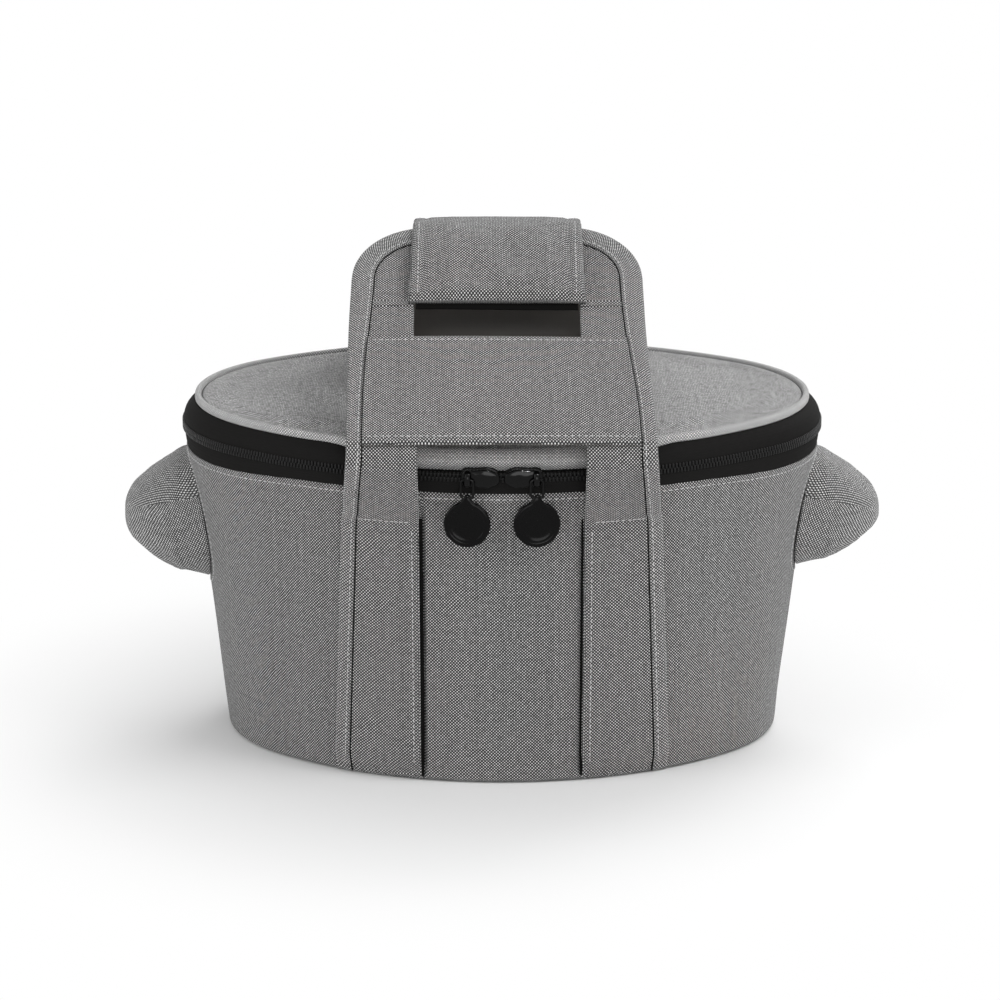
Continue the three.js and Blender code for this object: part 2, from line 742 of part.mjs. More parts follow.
// Link: a flat wire loop that passes through the bail and the eye of the disc
function pullLink() {
  const high = linkWire / 2;
  const low = high - linkLength;
  const outline = roundedRectangle(new THREE.Shape(), linkWidth / 2, low, high, linkWidth / 4);
  const hole = roundedRectangle(
    new THREE.Path(), linkWidth / 2 - linkWire, low + linkWire, high - linkWire, linkWidth / 8);
  outline.holes.push(hole);
  const wire = { depth: linkWire, bevelEnabled: false, curveSegments: 4 };
  return new THREE.ExtrudeGeometry(outline, wire).translate(0, 0, -linkWire / 2);
}

// Disc: dished on both faces inside a plain rim, with an eye round the foot of the link
function pullDisc() {
  const half = discThickness / 2;
  const dishRadius = discRadius - discRimWidth;
  const profile = [
    [0, discDish - half], [dishRadius - discDish, discDish - half], [dishRadius, -half],
    [discRadius - half / 2, -half], [discRadius, -half / 2], [discRadius, half / 2],
    [discRadius - half / 2, half], [dishRadius, half], [dishRadius - discDish, half - discDish],
    [0, half - discDish],
  ].map(([x, y]) => new THREE.Vector2(x, y));
  const eyeBore = linkWire / Math.SQRT2 + clearance;
  const eyeRadius = eyeBore + 1;
  const eyeHeight = linkWire - linkLength;
  const eyeHalf = linkWidth / 2 - linkWire - clearance;
  const discHeight = eyeHeight - eyeBore - clearance - discRadius;
  const disc = new THREE.LatheGeometry(profile, 32).rotateX(Math.PI / 2).translate(0, discHeight, 0);
  const eye = new THREE.CylinderGeometry(eyeRadius, eyeRadius, 2 * eyeHalf, 16)
    .rotateZ(Math.PI / 2).translate(0, eyeHeight, 0);
  const bore = new THREE.CylinderGeometry(eyeBore, eyeBore, 4 * eyeHalf, 12)
    .rotateZ(Math.PI / 2).translate(0, eyeHeight, 0);
  return subtract(unite(disc, eye), bore);
}

function addSliders() {
  const turn = (sliderLength + sliderNoseGap) / 2 / frontRadius;
  [['left', -1], ['right', 1]].forEach(([sideName, side]) => {
    const carriage = new THREE.Group();
    carriage.position.set(0, frontCentre, 0);
    carriage.rotation.z = side * turn;
    carrier.add(carriage);
    const bailTurn = (side * bailOffset) / frontRadius;
    addPiece(carriage, `${sideName}_slider`, unite(sliderBody(), bail(bailTurn)), zipBlack, 0.3);
    const swivel = new THREE.Group();
    swivel.rotation.z = bailTurn;
    carriage.add(swivel);
    const pull = new THREE.Group();
    pull.position.set(0, -frontRadius - linkDepth, chainHeight);
    pull.rotation.x = Math.PI / 2;
    swivel.add(pull);
    addPiece(pull, `${sideName}_pull_link`, pullLink(), zipBlack, 0.3);
    addPiece(pull, `${sideName}_pull_disc`, pullDisc(), zipBlack, 0.5);
  });
}

addTub();
addZip();
addLid();
const front = new THREE.Group();
const rear = new THREE.Group();
rear.rotation.z = Math.PI;
carrier.add(front, rear);
addStraps(front, ['left', 'right'], 'front', 0);
addStraps(rear, ['right', 'left'], 'rear', rearHandleDrop);
addHandle(front, 'front', 0);
addHandle(rear, 'rear', rearHandleDrop);
addSliders();

export default carrier;
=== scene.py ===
import math

import bmesh
import bpy
import numpy as np
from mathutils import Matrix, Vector
from mathutils.geometry import delaunay_2d_cdt


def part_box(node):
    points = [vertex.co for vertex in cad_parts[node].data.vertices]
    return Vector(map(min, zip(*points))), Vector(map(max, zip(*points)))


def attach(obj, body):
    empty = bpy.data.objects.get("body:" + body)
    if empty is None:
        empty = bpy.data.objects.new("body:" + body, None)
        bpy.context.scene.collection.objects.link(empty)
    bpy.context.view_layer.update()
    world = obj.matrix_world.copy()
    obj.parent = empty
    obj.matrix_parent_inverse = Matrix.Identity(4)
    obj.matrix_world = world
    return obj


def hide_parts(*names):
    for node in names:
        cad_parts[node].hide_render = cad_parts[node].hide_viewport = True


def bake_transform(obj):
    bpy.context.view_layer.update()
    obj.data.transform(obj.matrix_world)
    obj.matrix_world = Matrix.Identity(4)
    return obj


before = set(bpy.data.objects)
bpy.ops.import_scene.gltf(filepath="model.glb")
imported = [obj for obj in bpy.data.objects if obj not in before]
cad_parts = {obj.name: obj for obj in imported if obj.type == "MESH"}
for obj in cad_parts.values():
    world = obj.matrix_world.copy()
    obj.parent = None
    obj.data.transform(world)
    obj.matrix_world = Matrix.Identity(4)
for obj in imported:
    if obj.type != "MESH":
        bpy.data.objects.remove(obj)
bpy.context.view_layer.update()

# Sizes of the carrier in millimetres, as in the solid model
MM = 0.001
CLEARANCE = 0.3
HALF_LENGTH = 172.0
HALF_DEPTH = 134.0
END_RADIUS = 108.0
WALL_HEIGHT = 163.0
WALL_DRAFT = 21.0
PADDING_DEPTH = 8.6
BAND_TOP = 184.0
CHAIN_HEIGHT = 172.0
LOWER_TAPE = (163.3, 170.2)
UPPER_TAPE = (173.8, 183.9)
LOWER_TEETH = (169.6, 172.1)
UPPER_TEETH = (171.9, 174.4)
TOOTH_PITCH = 2.0
GUSSET = (163.4, 183.8)
LINING_FLOOR = 10.9
TOP_STITCH_HEIGHT = 160.3
LID_SEAM_RISE = 2.4
LID_PAD_TOP = 183.4
LID_PAD_BOTTOM = 180.2
LID_PAD_BELLY = 1.9
LID_PAD_ROUNDING = 14
BORDER_WIDTH = 5.5
RIM_WIDTH = 3.6
BAND_LEAN = 5.0
LEAN_START = 174.0
LID_DOME = 5.5
FOLD_LINE = 105.0
EAR_REACH = 41.0
EAR_ROOT_HALF_WIDTH = 33.0
EAR_ROOT_HALF_HEIGHT = 35.0
EAR_TIP_HALF_WIDTH = 16.0
EAR_TIP_HALF_HEIGHT = 10.0
EAR_CENTRE_HEIGHT = 121.0
EAR_CLOTH = 3.0
EAR_SIDE_ROWS = 34
EAR_SEAMS = (18, 162, 292, 378)
WALL_MOUTH = -1.4
LINING_MOUTH = 3.0
WALL_PROUD = 0.15
MOUTH_STITCH_GAP = 2.6
EAR_GRAIN = 0.35
RIGHT_EAR_RISE = 6.5
STRAP_THICKNESS = 3.0
STRAP_ROUNDING = 0.7
STRAP_INNER_HALF = 42.5
BINDING_PROUD = 0.8
STRAP_HALF_AT_BASE = 88.0 - BINDING_PROUD
STRAP_HALF_AT_STITCH = 82.0 - BINDING_PROUD
STITCH_HEIGHT = 150.0
TAB_BULGE = 4.0
TAB_RUN = 43.0
BINDING_WIDTH = 7.0
BINDING_WIDTH_TOP = 11.0
BINDING_RISE = 1.15
BINDING_BACK = 4.0
BINDING_STITCH_INSET = 1.6
STITCH_INSET = 3.2
BEND_DEPTH = 149.0
BEND_HEIGHT = 187.8
HANDLE_HALF_AT_BEND = 79.0 - BINDING_PROUD
HANDLE_HALF_AT_TOP = 77.0 - BINDING_PROUD
HANDLE_CORNER = 40.0
REAR_CORNER = 52.0
HANDLE_TOP_HEIGHT = 275.2
HANDLE_TOP_GAP = 7.0
REAR_DROP = 5.5
HANDLE_LEAN = -2.6
SLOT_HALF = 43.5
GRIP_BAR = 54.7
PANEL_LOW = 4.0
PANEL_HIGH = 81.0
REAR_PANEL_LOW = -3.0
FACING_HALF = 62.0
FACING_LOW = 10.0
GRIP_HEM = 106.0
PANEL_NEAR = 3.3
PANEL_FAR = 5.8
WRAP_HALF = 46.5
WRAP_DROP = 60.0
WRAP_NEAR = 4.6
WRAP_PADDING = 5.0
WRAP_CROWN = 2.4
WRAP_CAP = 4.2
WRAP_MEET = 34.0
WRAP_SEAM = WRAP_HALF - 7.0
SLIDER_LENGTH = 20.0
SLIDER_HEIGHT = 11.0
DISC_RADIUS = 12.0
LINK_LENGTH = 11.5
LINK_WIDTH = 8.0
LINK_WIRE = 1.5
LINK_CORNER = 2.3
PULL_OFFSET = 6.5
BAIL_HALF_WIDTH = 1.55
BAIL_HALF_THICKNESS = 0.68
PLATE_NEAR = 1.1
PLATE_THICKNESS = 1.6
INNER_PLATE = -3.1

# Softness that the cloth adds to the solid shapes
END_LIFT = 0.6
END_SAG = 3.0
END_SWELL = 1.6
FRONT_DROOP = 9.5
FRONT_FALL = 2.5
FRONT_PUFF = 3.0
WALL_WAIST = 1.5
WALL_TUCK = -0.5
CHANNEL_DEPTH = 4.0
RIGHT_CHANNEL_DEPTH = 1.9
FOOT_RADIUS = 3.0
FOOT_RUN = 6.0

# How the padded pieces settle as cloth
SETTLE_FRAMES = 14
SETTLE_REACH = 1.6
EAR_PRESSURE = 0.4
LID_PRESSURE = 0.3
WRAP_PRESSURE = 0.4

# Lines of the oval, the zip and the handle that follow from these
LID_EDGE = -BAND_LEAN
LID_SEAM = LID_EDGE - RIM_WIDTH
LID_PAD_EDGE = LID_EDGE - 3.5
END_CENTRE = HALF_LENGTH - END_RADIUS
FRONT_RADIUS = (END_CENTRE**2 + HALF_DEPTH**2 - END_RADIUS**2) / (2 * (HALF_DEPTH - END_RADIUS))
FRONT_CENTRE = FRONT_RADIUS - HALF_DEPTH
FRONT_ANGLE = math.atan2(END_CENTRE, FRONT_CENTRE)
FRONT_ARC = FRONT_RADIUS * FRONT_ANGLE
QUARTER = FRONT_ARC + END_RADIUS * (math.pi / 2 - FRONT_ANGLE)
FOLD_ARC = QUARTER + END_RADIUS * math.asin(FOLD_LINE / END_RADIUS)
SLIDER_TURN = (SLIDER_LENGTH + 2) / 2 / FRONT_RADIUS
PULL_TURN = SLIDER_TURN + PULL_OFFSET / FRONT_RADIUS
PLATE_FAR = PLATE_NEAR + PLATE_THICKNESS
HANDLE_RUN = BEND_DEPTH - HANDLE_TOP_GAP
HANDLE_LIFT = HANDLE_TOP_HEIGHT - BEND_HEIGHT
HANDLE_LENGTH = math.hypot(HANDLE_RUN, HANDLE_LIFT)
HANDLE_SLOPE = math.atan2(HANDLE_LIFT, HANDLE_RUN)
HANDLE_SHOULDER = HANDLE_LENGTH - HANDLE_CORNER
BEND_RUN = STITCH_HEIGHT + TAB_RUN
SPLIT_RUN = STITCH_HEIGHT + TAB_RUN / 2
LAP = 0.7

# Numbers of the materials on the straps and handles, after their cloth
STRAP_EDGE, STRAP_THREAD, STRAP_PAINTED_SHADE, HANDLE_BACK = range(1, 5)


def smooth(low, high, value):
    share = np.clip((np.asarray(value, float) - low) / (high - low), 0, 1)
    return share * share * (3 - 2 * share)


def bell(value, middle, width):
    return np.exp(-(((np.asarray(value, float) - middle) / width) ** 2))


def mix(first, second, share):
    return first + (second - first) * share


def rounded(value, power=0.6):
    """Sine or cosine of a turn, made fuller, so that a circle becomes a rounded square."""
    return np.sign(value) * np.abs(value) ** power


def unit(vectors):
    return vectors / np.linalg.norm(vectors, axis=-1, keepdims=True)


def turned_about(points, angle, centre):
    """Points turned about an upright axis and then moved by a centre."""
    x, y, z = np.moveaxis(np.asarray(points, float), -1, 0)
    cos, sin = math.cos(angle), math.sin(angle)
    return np.stack([x * cos - y * sin, x * sin + y * cos, z], -1) + np.asarray(centre)


def run_along(path):
    """Distance along a flat path at each of its points."""
    return np.concatenate([[0], np.cumsum(np.hypot(*np.diff(path, axis=0).T))])


def lengths_along(points, axis):
    """Distance along the rows or columns of a grid of points."""
    steps = np.diff(points, axis=axis, prepend=np.take(points, [0], axis))
    return np.linalg.norm(steps, axis=-1).cumsum(axis)


def mirrored(outline):
    """Outline on the other side of the carrier, turning the same way round."""
    return (outline * np.array([-1.0, 1.0]))[::-1]


# Materials
def new_material(name):
    material = bpy.data.materials.new(name)
    material.use_nodes = True
    tree = material.node_tree
    shader = tree.nodes["Principled BSDF"]
    return material, tree, shader


def feed(tree, value, socket):
    """Sets a socket to a value, or links it to the output of another node."""
    if isinstance(value, (int, float, tuple)):
        socket.default_value = value
    elif value is not None:
        tree.links.new(value, socket)


def maths(tree, operation, first, second=None):
    node = tree.nodes.new("ShaderNodeMath")
    node.operation = operation
    feed(tree, first, node.inputs[0])
    feed(tree, second, node.inputs[1])
    return node.outputs[0]


def mixed(tree, share, first, second):
    node = tree.nodes.new("ShaderNodeMix")
    node.data_type = "RGBA"
    for number, value in ((0, share), (6, first), (7, second)):
        feed(tree, value, node.inputs[number])
    return node.outputs[2]


def noise(tree, vector, scale, detail=2.0):
    node = tree.nodes.new("ShaderNodeTexNoise")
    node.inputs["Scale"].default_value = scale
    node.inputs["Detail"].default_value = detail
    tree.links.new(vector, node.inputs["Vector"])
    return node.outputs["Fac"]


def bump(tree, shader, height, strength, distance):
    node = tree.nodes.new("ShaderNodeBump")
    node.inputs["Strength"].default_value = strength
    node.inputs["Distance"].default_value = distance
    tree.links.new(height, node.inputs["Height"])
    tree.links.new(node.outputs["Normal"], shader.inputs["Normal"])


def grey(value, warmth=0.0):
    return (value * (1 + warmth), value, value * (1 - warmth), 1.0)


def cloth_place(tree):
    node = tree.nodes.new("ShaderNodeUVMap")
    node.uv_map = "Cloth"
    split = tree.nodes.new("ShaderNodeSeparateXYZ")
    tree.links.new(node.outputs["UV"], split.inputs[0])
    return node.outputs["UV"], split.outputs[0], split.outputs[1]


def yarn_shade(tree, number, seed):
    node = tree.nodes.new("ShaderNodeTexWhiteNoise")
    node.noise_dimensions = "1D"
    tree.links.new(maths(tree, "ADD", number, seed), node.inputs["W"])
    return node.outputs["Value"]


def woven(name, pale, dark, pitch=0.86, crest=1.5, slubs=1.5, warmth=0.002, contrast=1.0,
          roughness=0.9, sheen=0.12):
    """Plain weave of pale warp and dark weft yarns, laid out by the cloth's coordinates in millimetres."""
    material, tree, shader = new_material(name)
    place, across, along = cloth_place(tree)
    drift = maths(tree, "MULTIPLY", maths(tree, "SUBTRACT", noise(tree, place, 0.06), 0.5), 1.6)
    warp = maths(tree, "DIVIDE", maths(tree, "ADD", across, drift), pitch)
    weft = maths(tree, "DIVIDE", maths(tree, "SUBTRACT", along, drift), pitch)
    warp_number = maths(tree, "FLOOR", warp)
    weft_number = maths(tree, "FLOOR", weft)
    over = maths(tree, "FLOORED_MODULO", maths(tree, "ADD", warp_number, weft_number), 2.0)
    round_warp = maths(tree, "SINE", maths(tree, "MULTIPLY", maths(tree, "FRACT", warp), math.pi))
    round_weft = maths(tree, "SINE", maths(tree, "MULTIPLY", maths(tree, "FRACT", weft), math.pi))
    crown = maths(tree, "MULTIPLY", round_warp, round_weft)
    height = maths(tree, "POWER", crown, 0.5)
    warp_shade = yarn_shade(tree, warp_number, 11.3)
    weft_shade = yarn_shade(tree, weft_number, 47.9)
    pale_yarn = mixed(tree, warp_shade, grey(pale * 0.9, warmth), grey(pale * 1.08, warmth))
    dark_yarn = mixed(tree, weft_shade, grey(dark * 0.7, warmth), grey(dark * 1.5, warmth))
    slub = maths(tree, "ADD", maths(tree, "MULTIPLY", noise(tree, place, 0.4), slubs), 1.0 - 0.5 * slubs)
    # Pale yarn fades to the dark yarn towards the edges of each float: partly the round yarn's own shape,
    # partly painted shade in the gaps between yarns. The slubs vary it at random.
    lit = maths(tree, "MULTIPLY", maths(tree, "POWER", crown, crest), slub)
    yarn = mixed(tree, maths(tree, "MULTIPLY", over, lit), dark_yarn, pale_yarn)
    even = grey(0.2 * pale + 0.8 * dark, warmth)
    yarn = mixed(tree, contrast, even, yarn)
    cloud = maths(tree, "MULTIPLY", noise(tree, place, 0.035, 3.0), 0.14)
    worn = mixed(tree, cloud, yarn, grey(0.15 * pale + 0.6 * dark, warmth))
    tree.links.new(worn, shader.inputs["Base Color"])
    shader.inputs["Roughness"].default_value = roughness
    shader.inputs["Specular IOR Level"].default_value = 0.25
    shader.inputs["Sheen Weight"].default_value = sheen
    shader.inputs["Sheen Roughness"].default_value = 0.6
    bump(tree, shader, height, 0.55, 0.00025)
    return material


def ribbed(name, shade, pitch, roughness, depth):
    """Close woven black tape with a fine rib."""
    material, tree, shader = new_material(name)
    place, across, along = cloth_place(tree)
    rib = maths(tree, "SINE", maths(tree, "MULTIPLY", across, 2 * math.pi / pitch))
    row = maths(tree, "SINE", maths(tree, "MULTIPLY", along, 2 * math.pi / (pitch * 1.7)))
    height = maths(tree, "ADD", maths(tree, "MULTIPLY", rib, row), 1.0)
    share = maths(tree, "MULTIPLY", height, 0.5)
    # Colour follows the rib's height, lighter on the crests and darker in the troughs: painted shade of the
    # ribs.
    tone = mixed(tree, share, grey(shade * 0.55, 0.03), grey(shade * 1.5, 0.03))
    lint = maths(tree, "MULTIPLY", noise(tree, place, 0.3, 4.0), 0.3)
    tree.links.new(mixed(tree, lint, tone, grey(shade * 1.9, 0.03)), shader.inputs["Base Color"])
    shader.inputs["Roughness"].default_value = roughness
    shader.inputs["Specular IOR Level"].default_value = 0.05
    bump(tree, shader, share, 0.5, depth)
    return material


def moulded(name, shade, roughness, specular):
    """Black enamel or rubber with a faint unevenness."""
    material, tree, shader = new_material(name)
    place = tree.nodes.new("ShaderNodeTexCoord").outputs["Object"]
    grain = noise(tree, place, 900.0, 3.0)
    tree.links.new(mixed(tree, grain, grey(shade * 0.7), grey(shade * 1.4)), shader.inputs["Base Color"])
    rough = maths(tree, "ADD", maths(tree, "MULTIPLY", grain, 0.14), roughness - 0.07)
    tree.links.new(rough, shader.inputs["Roughness"])
    shader.inputs["Specular IOR Level"].default_value = specular
    bump(tree, shader, grain, 0.15, 0.0001)
    return material


def spun(name, shade):
    """Sewing thread with its twist."""
    material, tree, shader = new_material(name)
    place, across, along = cloth_place(tree)
    turn = maths(tree, "ADD", maths(tree, "MULTIPLY", across, 7.0), maths(tree, "MULTIPLY", along, 5.0))
    twist = maths(tree, "ADD", maths(tree, "MULTIPLY", maths(tree, "SINE", turn), 0.5), 0.5)
    # Colour follows the twist, darker in its grooves: painted shade of the twist.
    tree.links.new(mixed(tree, twist, grey(shade * 0.75), grey(shade)), shader.inputs["Base Color"])
    shader.inputs["Roughness"].default_value = 0.7
    bump(tree, shader, twist, 0.3, 0.0001)
    return material


BODY_CLOTH = woven("body_cloth", 0.98, 0.008)
# Lid cloth: its heavier slubs are the cloth's own; its extra lightness over the body cloth is painted light
# from above.
LID_CLOTH = woven("lid_cloth", 1.0, 0.05, crest=0.8, slubs=2.9)
# Rim cloth: a lighter copy of the lid cloth, painted light for the light that reaches the lid's rim.
RIM_CLOTH_PAINTED_LIGHT = woven("rim_cloth_painted_light", 1.0, 0.16, crest=0.9)
# Pocket cloth: a lighter copy of the body cloth, painted light for the side light that the pockets catch.
POCKET_CLOTH_PAINTED_LIGHT = woven("pocket_cloth_painted_light", 1.0, 0.03, crest=1.2)
BINDING_CLOTH = woven("binding_cloth", 0.98, 0.02, crest=1.3)
LINING_CLOTH = woven("lining_cloth", 0.13, 0.035, pitch=0.5, crest=1.0, warmth=0.05, contrast=0.25,
                     roughness=0.75, sheen=0.05)
FACING_CLOTH = woven("facing_cloth", 0.24, 0.07, pitch=0.4, crest=1.0, warmth=0.09, contrast=0.2,
                     roughness=0.8, sheen=0.0)
ZIP_TAPE = ribbed("zip_tape", 0.008, 0.9, 0.8, 0.00006)
HOOK_TAPE = ribbed("hook_tape", 0.003, 1.4, 0.9, 0.0005)
ZIP_COIL = moulded("zip_coil", 0.012, 0.32, specular=0.1)
ENAMEL = moulded("slider_metal", 0.002, 0.07, specular=0.14)
RUBBER = moulded("pull_disc", 0.0022, 0.14, specular=0.08)
BOARD = moulded("base_board", 0.02, 0.7, specular=0.3)
THREAD = spun("thread", 0.58)
# Near-black strip laid along the strap and binding edges: painted shade of the gaps and seams there.
PAINTED_SHADE_EDGE = ribbed("painted_shade_edge", 0.006, 0.8, 0.95, 0.0002)


def placed(name, data):
    """Object of a mesh, lamp or camera, put into the scene."""
    made = bpy.data.objects.new(name, data)
    bpy.context.scene.collection.objects.link(made)
    return made


class Piece:
    """Collects the points, faces, cloth coordinates and materials of one piece."""

    def __init__(self):
        self.points = []
        self.places = []
        self.faces = []
        self.numbers = []
        self.loose = {}
        self.count = 0

    def add(self, points, faces, places, number=0):
        points = np.array(points, float).reshape(-1, 3)
        places = np.array(places, float).reshape(-1, 2)
        self.points.append(points)
        self.places.append(places)
        for face in faces:
            self.faces.append([int(i) + self.count for i in face])
        self.numbers.extend([number] * len(faces))
        self.count += len(points)

    def grid(self, points, places, number=0, wrap_rows=False, wrap_columns=False, flip=False):
        rows, columns = points.shape[:2]
        index = np.arange(rows * columns).reshape(rows, columns)
        low = index if wrap_rows else index[:-1]
        high = np.roll(index, -1, 0) if wrap_rows else index[1:]
        if wrap_columns:
            corners = [low, np.roll(low, -1, 1), np.roll(high, -1, 1), high]
        else:
            corners = [low[:, :-1], low[:, 1:], high[:, 1:], high[:, :-1]]
        faces = np.stack(corners, -1).reshape(-1, 4)
        if flip:
            faces = faces[:, ::-1]
        self.add(points, faces.tolist(), places, number)

    def turned(self, drop, meet=0.0):
        """Turns the piece half round, for the rear of the carrier, with its bend and handle lower by a drop.

        Within a depth, meet, of the middle, the drop eases away, so that the wrap's halves are level there.
        """
        for block in self.points:
            block[:, :2] *= -1.0
            share = np.clip((block[:, 2] - STITCH_HEIGHT) / (BEND_HEIGHT - STITCH_HEIGHT), 0, 1)
            if meet:
                share = share * smooth(0, meet, np.abs(block[:, 1]))
            block[:, 2] -= drop * share

    def held(self):
        """How firmly each point is held by the seams when the piece settles as cloth."""
        loose = [self.loose.get(i, np.zeros(len(block))).ravel() for i, block in enumerate(self.points)]
        return 1 - np.concatenate(loose)

    def leaned(self, lean):
        """Leans a handle a little to one side above its bend."""
        for block in self.points:
            block[:, 0] += lean * smooth(BEND_HEIGHT, BEND_HEIGHT + 55, block[:, 2])

    def build(self, name, *materials, merged=False):
        mesh = bpy.data.meshes.new(name)
        mesh.from_pydata((np.concatenate(self.points) * MM).tolist(), [], self.faces)
        places = np.concatenate(self.places)
        layer = mesh.uv_layers.new(name="Cloth")
        corners = np.empty(len(mesh.loops), dtype=np.int32)
        mesh.loops.foreach_get("vertex_index", corners)
        layer.uv.foreach_set("vector", places[corners].astype(np.float32).ravel())
        mesh.polygons.foreach_set("material_index", np.array(self.numbers, dtype=np.int32))
        mesh.polygons.foreach_set("use_smooth", np.ones(len(self.faces), dtype=bool))
        for material in materials:
            mesh.materials.append(material)
        if merged:
            joined = bmesh.new()
            joined.from_mesh(mesh)
            bmesh.ops.remove_doubles(joined, verts=joined.verts, dist=1e-6)
            joined.to_mesh(mesh)
            joined.free()
        mesh.validate()
        mesh.update()
        return placed(name, mesh)


# The oval that the tub, the zip and the lid share
def oval(arc, offset):
    """Points, outward normals and cloth run at arc lengths from the middle of the front, at an offset."""
    arc, offset = np.broadcast_arrays(np.asarray(arc, float), np.asarray(offset, float))
    arc = (arc + 2 * QUARTER) % (4 * QUARTER) - 2 * QUARTER
    side = np.where(arc < 0, -1.0, 1.0)
    along = np.abs(arc)
    rear = along > QUARTER + 1e-9
    along = np.where(rear, 2 * QUARTER - along, along)
    on_front = along <= FRONT_ARC
    angle = np.where(on_front, along / FRONT_RADIUS, FRONT_ANGLE + (along - FRONT_ARC) / END_RADIUS)
    radius = np.where(on_front, FRONT_RADIUS, END_RADIUS) + offset
    x = side * (np.where(on_front, 0.0, END_CENTRE) + radius * np.sin(angle))
    y = np.where(on_front, FRONT_CENTRE, 0.0) - radius * np.cos(angle)
    front_run = (FRONT_RADIUS + offset) * FRONT_ANGLE
    run = side * np.where(on_front, radius * angle, front_run + radius * (angle - FRONT_ANGLE))
    flip = np.where(rear, -1.0, 1.0)
    return x, flip * y, side * np.sin(angle), -flip * np.cos(angle), np.where(rear, 600 - run, run)


def oval_depth(x, y):
    """How far points lie inside or outside the oval, negative inside."""
    x, y = np.abs(x), -np.abs(y)
    angle = np.arctan2(x, FRONT_CENTRE - y)
    to_front = np.hypot(x, y - FRONT_CENTRE) - FRONT_RADIUS
    to_end = np.hypot(x - END_CENTRE, y) - END_RADIUS
    return np.where(angle < FRONT_ANGLE, to_front, to_end)


def ring_arcs(steps):
    return np.linspace(-2 * QUARTER, 2 * QUARTER, steps, endpoint=False)


def oval_outline(offset, steps):
    x, y, *_ = oval(ring_arcs(steps), offset)
    return np.stack([x, y], -1)


def wall_offset(z):
    """Place of the wall's face at a height, drawn in a little more than straight below the zip."""
    share = np.clip(np.asarray(z, float) / WALL_HEIGHT, 0, 1)
    return -(WALL_DRAFT + WALL_TUCK) * (1 - share) - WALL_WAIST * np.sin(np.pi * share)


def end_share(x):
    """How near points are to the two ends of the oval, where the zip band widens."""
    return smooth(95, HALF_LENGTH - 10, np.abs(x))


def swell_share(x):
    """How near points are to the two ends, past the sliders' travel, where the zip band bellies out."""
    return smooth(122, HALF_LENGTH - 6, np.abs(x))


def front_share(x, y):
    """How near points are to the middle of the lid's front edge, which droops between the straps."""
    return (1 - smooth(45, 92, np.abs(x))) * smooth(70, 118, -np.asarray(y, float))


def wall_sag(z):
    return -END_SAG * smooth(118, WALL_HEIGHT, z)


def band_lean(z):
    """How far the zip band leans in to the lid above its teeth."""
    share = np.clip((np.asarray(z, float) - LEAN_START) / (BAND_TOP - LEAN_START), 0, 1)
    return -BAND_LEAN * share**3


def band_swell(z):
    share = np.clip((np.asarray(z, float) - WALL_HEIGHT) / (BAND_TOP - WALL_HEIGHT), 0, 1)
    return END_SWELL * np.sin(np.pi * share)


def wall_ease(x, y, z):
    """Unevenness of the padded wall, in millimetres along its normal."""
    slow = np.sin(x / 31 + z / 47) * np.sin(z / 26 + y / 53 + 0.6)
    quick = np.sin(x / 17 - z / 39 + 1.1) * np.sin(z / 33 - y / 29)
    fade = smooth(2, 22, z) * (1 - smooth(148, 161, z))
    return (0.42 * slow + 0.22 * quick) * fade


def wall_channel(x, y, z):
    """Channels that the sewn inner edges of the straps draw into the padded wall."""
    beside = bell(np.abs(x), STRAP_INNER_HALF - 1.0, 1.25) * smooth(60, 90, np.abs(y))
    depth = np.where(x < 0, CHANNEL_DEPTH, RIGHT_CHANNEL_DEPTH)
    return -depth * beside * smooth(0, 9, z) * (1 - smooth(146, 156, z))


def sweep(piece, profile, arcs, number=0, closed_arcs=True, closed_profile=True, flip=False,
          ease=None, rise=None, swell=None, droop=None, puff=None):
    """Ring or open band along the oval from a profile of offsets and heights.

    For each point of the profile, ease is its share of the wall's unevenness, rise and swell are how far it
    moves up and out at the two ends of the oval, and droop and puff are how far it moves down and out at the
    middle of the front.
    """
    profile = np.asarray(profile, float)
    none = np.zeros(len(profile))
    given = (ease, rise, swell, droop, puff)
    ease, rise, swell, droop, puff = (none if value is None else np.asarray(value, float) for value in given)
    heights = np.broadcast_to(profile[:, 1:], (len(profile), len(arcs)))
    x, y, nx, ny, run = oval(np.asarray(arcs, float)[None, :], profile[:, :1])
    uneven = wall_ease(x, y, heights) + wall_channel(x, y, heights)
    move = ease[:, None] * uneven + swell[:, None] * swell_share(x) + puff[:, None] * front_share(x, y)
    heights = heights + rise[:, None] * end_share(x) - droop[:, None] * front_share(x, y)
    points = np.stack([x + nx * move, y + ny * move, heights], -1)
    places = np.stack([run, lengths_along(points, 0)], -1)
    piece.grid(points, places, number, closed_profile, closed_arcs, flip)


# Flat outlines, filled and given a thickness on a curved surface
def inset(outline, distance):
    """Closed outline moved in by a distance."""
    turn = unit(outline - np.roll(outline, 1, 0)) + unit(np.roll(outline, -1, 0) - outline)
    inward = np.stack([-turn[:, 1], turn[:, 0]], -1)
    inward /= np.maximum(np.linalg.norm(inward, axis=1, keepdims=True), 1e-6)
    return outline + inward * distance


def spaced(corners, spacing, closed=True):
    """Points at an even spacing along straight runs between corners."""
    corners = [np.asarray(corner, float) for corner in corners]
    ends = corners[1:] + corners[:1] if closed else corners[1:]
    points = []
    for start, end in zip(corners, ends):
        steps = max(1, int(round(np.linalg.norm(end - start) / spacing)))
        points.extend(mix(start, end, step / steps) for step in range(steps))
    if not closed:
        points.append(corners[-1])
    return np.array(points)


def between(first, last, spacing):
    """Points at an even spacing between two others, without those two."""
    return spaced([first, last], spacing, False)[1:-1]


def box_corners(half, low, high):
    return [(half, low), (half, high), (-half, high), (-half, low)]


